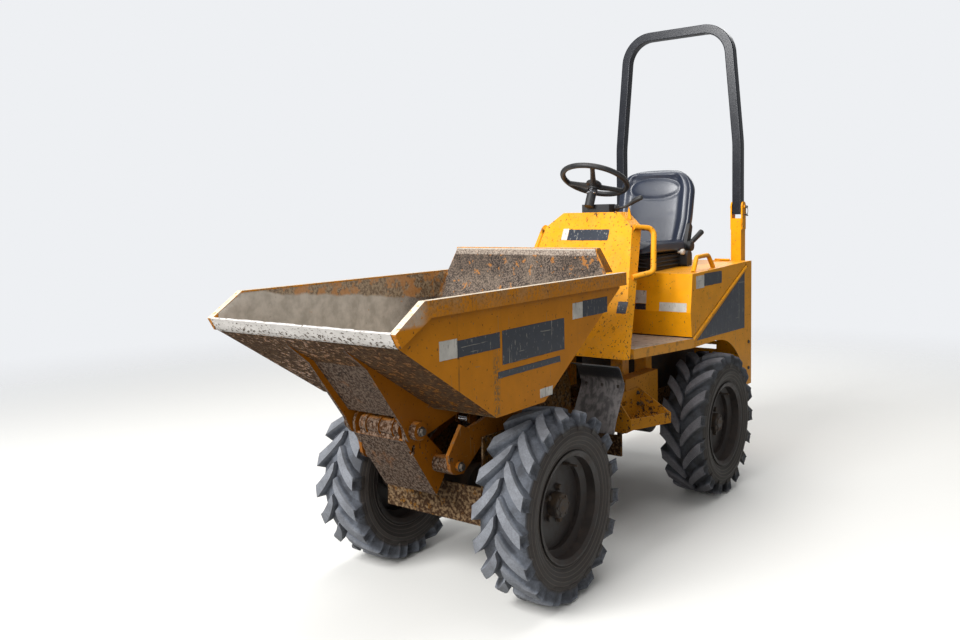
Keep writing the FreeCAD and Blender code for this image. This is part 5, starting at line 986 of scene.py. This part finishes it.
def back_spot(up, turn):
    """A point on the backrest's skin, at a height up it and a turn round its section."""
    half = back_half(up)
    ends = min(smooth(-6, 34, BACK_TALL - up), smooth(-10, 30, up))
    deep = lerp(BACK_THIN, BACK_THICK, ends)
    middle = BACK_THICK / 2
    c, s = math.cos(turn), math.sin(turn)
    across = half * signed_power(c, 0.50)
    behind = middle - deep / 2 * signed_power(s, 0.62) + (middle - deep / 2) * 0.3
    if s > 0:
        behind += back_dish(across, up) * smooth(0.0, 0.5, s)
    else:
        behind += 10 * math.sin(math.pi * min(1.0, up / BACK_TALL)) * (-s)
    return BACK_FOOT + BACK_UP * up + BACK_BEHIND * max(0.0, behind) + Vector((across, 0, 0))


levels = [BACK_TALL * share for share in eased(BACK_LEVELS)]
back = Shape()
back.skin(pad_rows(levels, BACK_SIDES, back_spot))
back = back.piece("seat_backrest", SEAT_BODY, VINYL, smooth=70, replaces=["seat_back"], slot="seat_vinyl")

# %% Cushion
CUSHION_FRONT, CUSHION_REAR = 610, 1008
CUSHION_LOW, CUSHION_TOP = 1188, 1262
CUSHION_HALF = 226
FRONT_CORNER, REAR_CORNER = 80, 36
CUSHION_THIN, DISH_DEEP, CUSHION_SEAM = 26, 15, 3.0
CUSHION_LEVELS, CUSHION_SIDES = 70, 96


def cushion_spot(y, turn):
    """A point on the cushion's skin, at a place along y and a turn round its section."""
    front, rear = y - CUSHION_FRONT, CUSHION_REAR - y
    half = CUSHION_HALF - 12 * smooth(0, 240, rear)
    for room, corner in ((front, FRONT_CORNER), (rear, REAR_CORNER)):
        if room < corner:
            half -= corner_cut(room, corner)
    ends = smooth(-8, 42, front) * smooth(-8, 20, rear)
    tall = lerp(CUSHION_THIN, CUSHION_TOP - CUSHION_LOW, ends)
    c, s = math.cos(turn), math.sin(turn)
    across = half * signed_power(c, 0.45)
    middle = CUSHION_LOW + tall / 2 + 6 * (1 - smooth(0, 40, front))
    height = middle + tall / 2 * signed_power(s, 0.5)
    share = abs(across) / max(half, 1)
    if s > 0:
        dish = DISH_DEEP * (1 - smooth(0.55, 0.82, share)) * smooth(30, 130, front)
        seam = CUSHION_SEAM * math.exp(-(((share - 0.88) / 0.018) ** 2)) * smooth(30, 90, front)
        height -= (dish + seam) * smooth(0.0, 0.5, s)
    return Vector((across, y, height))


levels = [lerp(CUSHION_FRONT, CUSHION_REAR, share) for share in eased(CUSHION_LEVELS)]
cushion = Shape()
cushion.skin(pad_rows(levels, CUSHION_SIDES, cushion_spot))
cushion = cushion.piece("seat_pad", SEAT_BODY, VINYL, smooth=70, replaces=["seat_cushion"], slot="seat_vinyl")

# %% [markdown]
# Under the cushion sits a rubber bellows that hides the suspension. Its folds sag a little between the
# corners. Beside it are the recliner's plate and arm and a pale knob. The bellows is skinned through rows
# like the pads, the others are a plate, a tube and turned pieces.

# %% Bellows
FOLDS, FOLD_DEEP, FOLD_SAG = 3.5, 12, 5
BELLOWS_WIDE, BELLOWS_LONG = 208, 204
BELLOWS_Y = 832
BELLOWS_LOW, BELLOWS_TOP = 1126, 1192
BELLOWS_ROWS, BELLOWS_SIDES = 42, 96


def bellows_spot(share, turn):
    """A point on the bellows, at a share of its height and a turn round it."""
    swell = FOLD_DEEP * (0.5 - 0.5 * math.cos(math.tau * FOLDS * share))
    narrow = 1.0 - 0.03 * share
    x = (BELLOWS_WIDE + swell) * signed_power(math.cos(turn), 0.36) * narrow
    y = BELLOWS_Y + (BELLOWS_LONG + swell) * signed_power(math.sin(turn), 0.36) * narrow
    sag = FOLD_SAG * math.sin(3 * turn + 0.6) * math.sin(math.pi * share)
    return Vector((x, y, lerp(BELLOWS_LOW, BELLOWS_TOP, share) + sag))


bellows = Shape()
levels = [k / BELLOWS_ROWS for k in range(BELLOWS_ROWS + 1)]
bellows.skin(pad_rows(levels, BELLOWS_SIDES, bellows_spot), caps=False)
bellows.piece("seat_bellows", SEAT_BODY, PLASTIC, smooth=70)

# %% Recliner and knob
TO_THE_LEFT = (1, 0, 0)
RECLINER_PLATE = (
    (996, 1196), (1026, 1190), (1062, 1246), (1086, 1318), (1070, 1340), (1050, 1332), (1022, 1262),
)
RECLINER_IN, RECLINER_OUT = 203, 222
RECLINER_ARM = ((222, 1036, 1226), (232, 1070, 1248), (240, 1112, 1272), (243, 1150, 1290))
RECLINER_DISC = ((26, 0), (27, 3), (27, 20), (24, 24), (10, 26))
KNOB = ((7, 0), (7, 14), (13, 16), (15, 20), (15, 30), (12, 34), (0.5, 35))
recliner = Shape()
recliner.prism(RECLINER_PLATE, RECLINER_IN, RECLINER_OUT)
recliner.tube(RECLINER_ARM, [12, 13, 14, 15], 14)
recliner.turned(RECLINER_DISC, (RECLINER_OUT, 1030, 1222), TO_THE_LEFT, 28)
recliner.soften(1.5)
recliner.piece("seat_recliner", SEAT_BODY, PLASTIC)
knob = Shape()
knob.turned(KNOB, (213, 925, 1196), TO_THE_LEFT, 20)
knob.piece("seat_knob", SEAT_BODY, PALE_FILM)

# %% [markdown]
# ## The steering wheel and the lever
# The steering wheel is a thick hard-rubber ring on three spokes that rise from a low domed hub, and the
# column under it ends in a bright collar. Ring, spokes and lever are tubes along a path, hub and collar
# turned pieces.

# %% Steering wheel
WHEEL_MIDDLE = Vector((0, 457, 1559))
WHEEL_TURN = Matrix.Rotation(math.radians(-25), 3, "X")
RING_REACH, RING_THICK, RING_STEPS = 155, 13, 72
SPOKE_TURNS = (53, 173, 293)
# Along a spoke: distance from the middle, height above the ring's plane, radius.
SPOKE = ((16, -26, 16), (40, -25, 14), (80, -16, 12), (120, -7, 11), (152, -1, 12))
HUB = ((30, -34), (37, -31), (38, -22), (36, -15), (30, -10), (18, -6), (0.5, -5))
COLLAR = ((23, -74), (25, -72), (25, -52), (22, -48), (22, -40), (19, -30))


def wheel_spot(angle, reach, height):
    """A point of the tilted wheel, from its turn, its distance from the middle and its height."""
    turn = math.radians(angle)
    return WHEEL_MIDDLE + WHEEL_TURN @ Vector((reach * math.cos(turn), reach * math.sin(turn), height))


wheel = Shape()
ring = [wheel_spot(360 * i / RING_STEPS, RING_REACH, 0) for i in range(RING_STEPS)]
wheel.tube(ring, RING_THICK, 16, loop=True)
for angle in SPOKE_TURNS:
    path = [wheel_spot(angle, reach, height) for reach, height, radius in SPOKE]
    wheel.tube(path, [radius for reach, height, radius in SPOKE], 14)
axis = WHEEL_TURN @ Vector((0, 0, 1))
wheel.turned(HUB, WHEEL_MIDDLE, axis, 36)
wheel.piece(
    "hand_wheel", "rear_chassis", PLASTIC, smooth=50, replaces=["steering_wheel"], slot="black_plastic",
)
collar = Shape()
collar.turned(COLLAR, WHEEL_MIDDLE, axis, 30)
collar.piece("column_collar", "rear_chassis", CHROME)

# %% Gear lever
LEVER_BOSS = ((17, 0), (17, 4), (13, 9), (15, 13), (11, 18), (8, 22))
# Along the lever: x, y, z, radius.
LEVER = (
    (108, 486, 1425, 6), (128, 487, 1426, 6), (150, 488, 1431, 6.5), (172, 489, 1443, 9),
    (190, 490, 1455, 12), (208, 491, 1464, 12.5), (224, 492, 1470, 12), (230, 492, 1472, 8),
)
lever = Shape()
lever.turned(LEVER_BOSS, (94.5, 486, 1425), TO_THE_LEFT, 24)
lever.tube([(x, y, z) for x, y, z, radius in LEVER], [radius for x, y, z, radius in LEVER], 16)
lever.piece(
    "gear_lever", "rear_chassis", PLASTIC, smooth=50, replaces=["direction_lever"], slot="black_plastic",
)

# %% [markdown]
# ## Films on the sheets
# Thin plain films lie on the skip, the cover and the console. A film could be a patch in the paint's
# material, but its edge stands up a little, so each is a thin sheet of its own, skinned between its four
# corners.

# %% Films
FILM_LIFT, FILM_SUNK = 0.8, 0.3
FILM_STEPS, FILM_ROWS = 24, 8
FILM_WAVER = 1.3


def film(corners, out, body, name, finish):
    """A blank film between four corners, given round its edge; out points away from the sheet."""
    low_a, low_b, high_b, high_a = (Vector(corner) for corner in corners)
    away = Vector(out).normalized()
    rows = []
    for j in range(FILM_ROWS + 1):
        left, right = low_a.lerp(high_a, j / FILM_ROWS), low_b.lerp(high_b, j / FILM_ROWS)
        line = []
        for i in range(FILM_STEPS + 1):
            spot = left.lerp(right, i / FILM_STEPS)
            if i in (0, FILM_STEPS) or j in (0, FILM_ROWS):
                spot += (left - right).normalized() * noise.noise(spot * 0.09) * FILM_WAVER
                upward = noise.noise(spot * 0.08 + Vector((9, 9, 9))) * FILM_WAVER
                spot += (high_a - low_a).normalized() * upward
            line.append(spot)
        rows.append([s + away * FILM_LIFT for s in line] + [s - away * FILM_SUNK for s in reversed(line)])
    shape = Shape()
    shape.skin(rows)
    shape.piece(name, body, finish)


# %% Films on the upright sheets
SKIP_SIDE, COVER_SIDE = 410, 434
# Films on upright sheets: name, body, x, y at both ends, z at both ends, finish, shift of the top along y.
for name, body, x, y0, y1, z0, z1, finish, lean in (
    ("skip_film_large", "skip", SKIP_SIDE, -900, -508, 911, 1026, NAVY_FILM, 0),
    ("skip_film_bar", "skip", SKIP_SIDE, -925, -538, 869, 891, NAVY_FILM, -2),
    ("skip_film_front_pale", "skip", SKIP_SIDE, -1227, -1140, 971, 1031, PALE_FILM, 0),
    ("skip_film_front_navy", "skip", SKIP_SIDE, -1139, -913, 970, 1023, NAVY_FILM, 0),
    ("skip_film_rear_pale", "skip", SKIP_SIDE, -447, -374, 1013, 1073, PALE_FILM, 0),
    ("skip_film_rear_navy", "skip", SKIP_SIDE, -373, -182, 1014, 1076, NAVY_FILM, 0),
    ("skip_film_low", "skip", SKIP_SIDE, -676, -594, 758, 790, PALE_FILM, 0),
    ("cover_film_pale", SEAT_BODY, COVER_SIDE, 634, 729, 1038, 1098, PALE_FILM, 0),
    ("cover_film_navy", SEAT_BODY, COVER_SIDE, 730, 948, 1044, 1104, NAVY_FILM, 0),
):
    film(((x, y0, z0), (x, y1, z0), (x, y1 + lean, z1), (x, y0 + lean, z1)), (1, 0, 0), body, name, finish)


# %% Films on the leaning sheets
def console_spot(x, share):
    """A point on the console's front sheet, at a share of the way up."""
    return x, lerp(112, 384, share), lerp(770, 1338, share)


def cover_spot(x, share):
    """A point on the cover's upper front sheet, at a share of the way up."""
    return x, lerp(570, 593, share), lerp(932, 1111, share)


CONSOLE_OUT = (0, -568, 272)
COVER_OUT = (0, -179, 23)
# Films on sheets that lean: name, body, sheet, its direction, x at both ends, shares up the sheet, finish.
for name, body, place, out, low_x, high_x, low, high, finish in (
    ("console_film_pale", "rear_chassis", console_spot, CONSOLE_OUT, -129, -97, 0.892, 0.985, PALE_FILM),
    ("console_film_navy", "rear_chassis", console_spot, CONSOLE_OUT, -96, 121, 0.890, 0.978, NAVY_FILM),
    ("console_film_low", "rear_chassis", console_spot, CONSOLE_OUT, 244, 291, 0.333, 0.421, NAVY_FILM),
    ("cover_film_sign", SEAT_BODY, cover_spot, COVER_OUT, 150, 206, 0.19, 0.53, PALE_FILM),
    ("cover_film_dark", SEAT_BODY, cover_spot, COVER_OUT, 150, 206, 0.02, 0.18, NAVY_FILM),
    ("cover_film_label", SEAT_BODY, cover_spot, COVER_OUT, 276, 413, 0.01, 0.24, PALE_FILM),
):
    corners = (place(low_x, low), place(high_x, low), place(high_x, high), place(low_x, high))
    film(corners, out, body, name, finish)
WEDGE = ((640, 794), (1262, 782), (1262, 1076))
wedge = Shape()
wedge.prism(WEDGE, COVER_SIDE - 0.2, COVER_SIDE + 0.9)
wedge.piece("engine_film", "rear_chassis", NAVY_FILM)

# %% [markdown]
# ## Fasteners and small fittings
# Bolts tell the size of a machine. Each is turned by the shape class at a place from a short table, on both
# sides, and all the bolts that ride on one body are one mesh, which is lighter than an object for each.

# %% Bolts
PIN_BOLT, SMALL_BOLT = (24, 10.8), (13, 6)
# Bolts on both sides: body, head's width and height, then x, y and z on the side that faces +X.
BOLTS = (
    ("lift_arms", PIN_BOLT, ((227, -905, 538),)),
    ("skip", PIN_BOLT, ((170, -1042, 684),)),
    ("rear_chassis", SMALL_BOLT, ((433.9, 1320, 560), (433.9, 1320, 700), (304, 284, 547), (304, 284, 596))),
)
REAR_PLATE_Y, REAR_PLATE_X, REAR_PLATE_Z = 1366, (-270, -90, 90, 270), (1108, 512)
for body, head, spots in BOLTS:
    bolts = Shape()
    for side in (1, -1):
        for x, y, z in spots:
            bolts.bolt((x * side, y, z), (side, 0, 0), *head)
    if body == "rear_chassis":
        for x in REAR_PLATE_X:
            for z in REAR_PLATE_Z:
                bolts.bolt((x, REAR_PLATE_Y, z), (0, 1, 0), *head)
    bolts.piece(f"bolts_{body}", body, STEEL, slot="dull_steel")

# %% Mudguard bolts
# The bolts stand on the mudguard's middle slope, which runs between these two bends, given as y and z.
GUARD_BEND, GUARD_CREST = (-157, 567), (-77, 701)
BELOW_CREST, ABOVE_SHEET = 6, 4.6
slope = Vector((0, *GUARD_CREST)) - Vector((0, *GUARD_BEND))
slope.normalize()
ahead = Vector((0, -slope.z, slope.y))
guard = Shape()
for side in (1, -1):
    for x in (258, 332, 406):
        at = Vector((side * x, *GUARD_CREST)) - slope * BELOW_CREST + ahead * ABOVE_SHEET
        guard.bolt(at, ahead, 13, 5)
guard.piece("mudguard_bolts", "front_chassis", STEEL, slot="dull_steel")

# %% [markdown]
# The folding roll bar is locked by a pin on each side, with a thin ring to pull it by and a bent clip under
# it. Ring and clip are tubes of wire, so a path of a few points is enough for each.

# %% Locking pins of the roll bar
LOCK_PIN = ((9, 0), (9, 2), (7, 4), (7, 10), (4, 12))
LOCK_CLIP = ((391, 1372, 1376), (397, 1380, 1374), (398, 1404, 1371))
locks = Shape()
for side in (1, -1):
    locks.turned(LOCK_PIN, (side * 389, 1397.8, 1417), (side, 0, 0), 18)
    ring = [(side * 396, 1398 + 16 * c, 1396 + 20 * s) for c, s in circle(28)]
    locks.tube(ring, 1.6, 8, loop=True)
    locks.tube([(side * x, y, z) for x, y, z in LOCK_CLIP], 4, 10)
locks.piece("lock_pins", "rear_chassis", STEEL, slot="dull_steel")

# %% [markdown]
# ## Camera, lights and floor
# The camera's place and angles were worked out from the machine's own straight lines. The light is a plain
# soft studio, so that a colour renders about as it is written.

# %% The camera
CAMERA_AT = Vector((2088.7, -3245.2, 1418.9)) * MM
YAW, PITCH, ROLL = 37.0, -4.5, -1.2
FOCAL_PX = 878.2
FRAME_PX = (960, 640)
CENTRE_PX = (479.5, 281.1)
SENSOR = 36.0
camera = bpy.data.objects.new("camera", bpy.data.cameras.new("camera"))
bpy.context.scene.collection.objects.link(camera)
bpy.context.scene.camera = camera
camera.data.sensor_width = SENSOR
camera.data.lens = FOCAL_PX * SENSOR / FRAME_PX[0]
camera.data.shift_x = (FRAME_PX[0] / 2 - CENTRE_PX[0]) / FRAME_PX[0]
camera.data.shift_y = (CENTRE_PX[1] - FRAME_PX[1] / 2) / FRAME_PX[0]
aim = Matrix.Rotation(math.radians(YAW), 4, "Z") @ Matrix.Rotation(math.radians(90 + PITCH), 4, "X")
camera.matrix_world = Matrix.Translation(CAMERA_AT) @ aim @ Matrix.Rotation(math.radians(ROLL), 4, "Z")
print("lens", round(camera.data.lens, 1), "mm, shift", round(camera.data.shift_y, 4))

# %% Lights
world = bpy.data.worlds.new("studio")
bpy.context.scene.world = world
world.use_nodes = True
background = world.node_tree.nodes["Background"]
WORLD_LEVEL = 0.31


def seen_by(tree, *kinds):
    """1 where a ray is one of these kinds, and 0 elsewhere."""
    path = tree.nodes.new("ShaderNodeLightPath")
    first, *others = (Wire(tree, path.outputs[f"Is {kind} Ray"]) for kind in kinds)
    for other in others:
        first = first.most(other)
    return first


seen = seen_by(world.node_tree, "Camera", "Transmission")
connect(world.node_tree, seen * (1.0 - WORLD_LEVEL) + WORLD_LEVEL, background.inputs["Strength"])
background.inputs["Color"].default_value = rgb("eef0f3")


LAMPS_LOOK_AT = Vector((0, 0, 0.8))


def soft_box(name, at, size, power):
    """A square area lamp that looks at the machine's middle; places and sizes are in metres."""
    lamp = bpy.data.lights.new(name, "AREA")
    lamp.size, lamp.energy = size, power
    made = bpy.data.objects.new(name, lamp)
    made.location = at
    made.rotation_euler = (LAMPS_LOOK_AT - Vector(at)).to_track_quat("-Z", "Y").to_euler()
    bpy.context.scene.collection.objects.link(made)
    print("lamp", name + ":", power, "watts")


soft_box("key", (-1.2, -6.6, 5.2), 3.5, 820)
soft_box("front", (1.5, -6.0, 2.4), 3.0, 130)
soft_box("fill", (5.5, -1.5, 3.0), 4.0, 10)
soft_box("top", (0.0, 0.3, 6.5), 5.0, 215)
soft_box("rear", (-1.5, 5.5, 4.0), 4.0, 130)

# %% Floor
# The floor fades out with the distance from the machine, and is darker to rays that would light the machine.
FLOOR_GONE, FLOOR_WHOLE = 7.5, 2.6
FLOOR_HALF = 30.0
floor_finish = Finish("studio floor", roughness=0.85)
spot = {"Vector": floor_finish.place}
away = floor_finish.node("ShaderNodeVectorMath", {"operation": "LENGTH"}, spot, out=1)
looked_at = seen_by(floor_finish.tree, "Camera", "Glossy", "Transmission")
floor_colour = floor_finish.mix(looked_at, rgb("6a6863"), rgb("e4e3df"))
floor_finish.surface(base_color=floor_colour, alpha=floor_finish.rise(away, FLOOR_GONE, FLOOR_WHOLE))
floor_mesh = bpy.data.meshes.new("studio_floor")
corners = [(FLOOR_HALF * x, FLOOR_HALF * y, 0) for x, y in ((-1, -1), (1, -1), (1, 1), (-1, 1))]
floor_mesh.from_pydata(corners, [], [(0, 1, 2, 3)])
floor_mesh.materials.append(floor_finish.material)
floor = bpy.data.objects.new("studio_floor", floor_mesh)
bpy.context.scene.collection.objects.link(floor)
print("floor fades out from", FLOOR_WHOLE, "to", FLOOR_GONE, "metres")

# %% [markdown]
# ## The colour transform
# The colour transform stays plain.

# %% Finish
bpy.context.scene.view_settings.view_transform = "Standard"
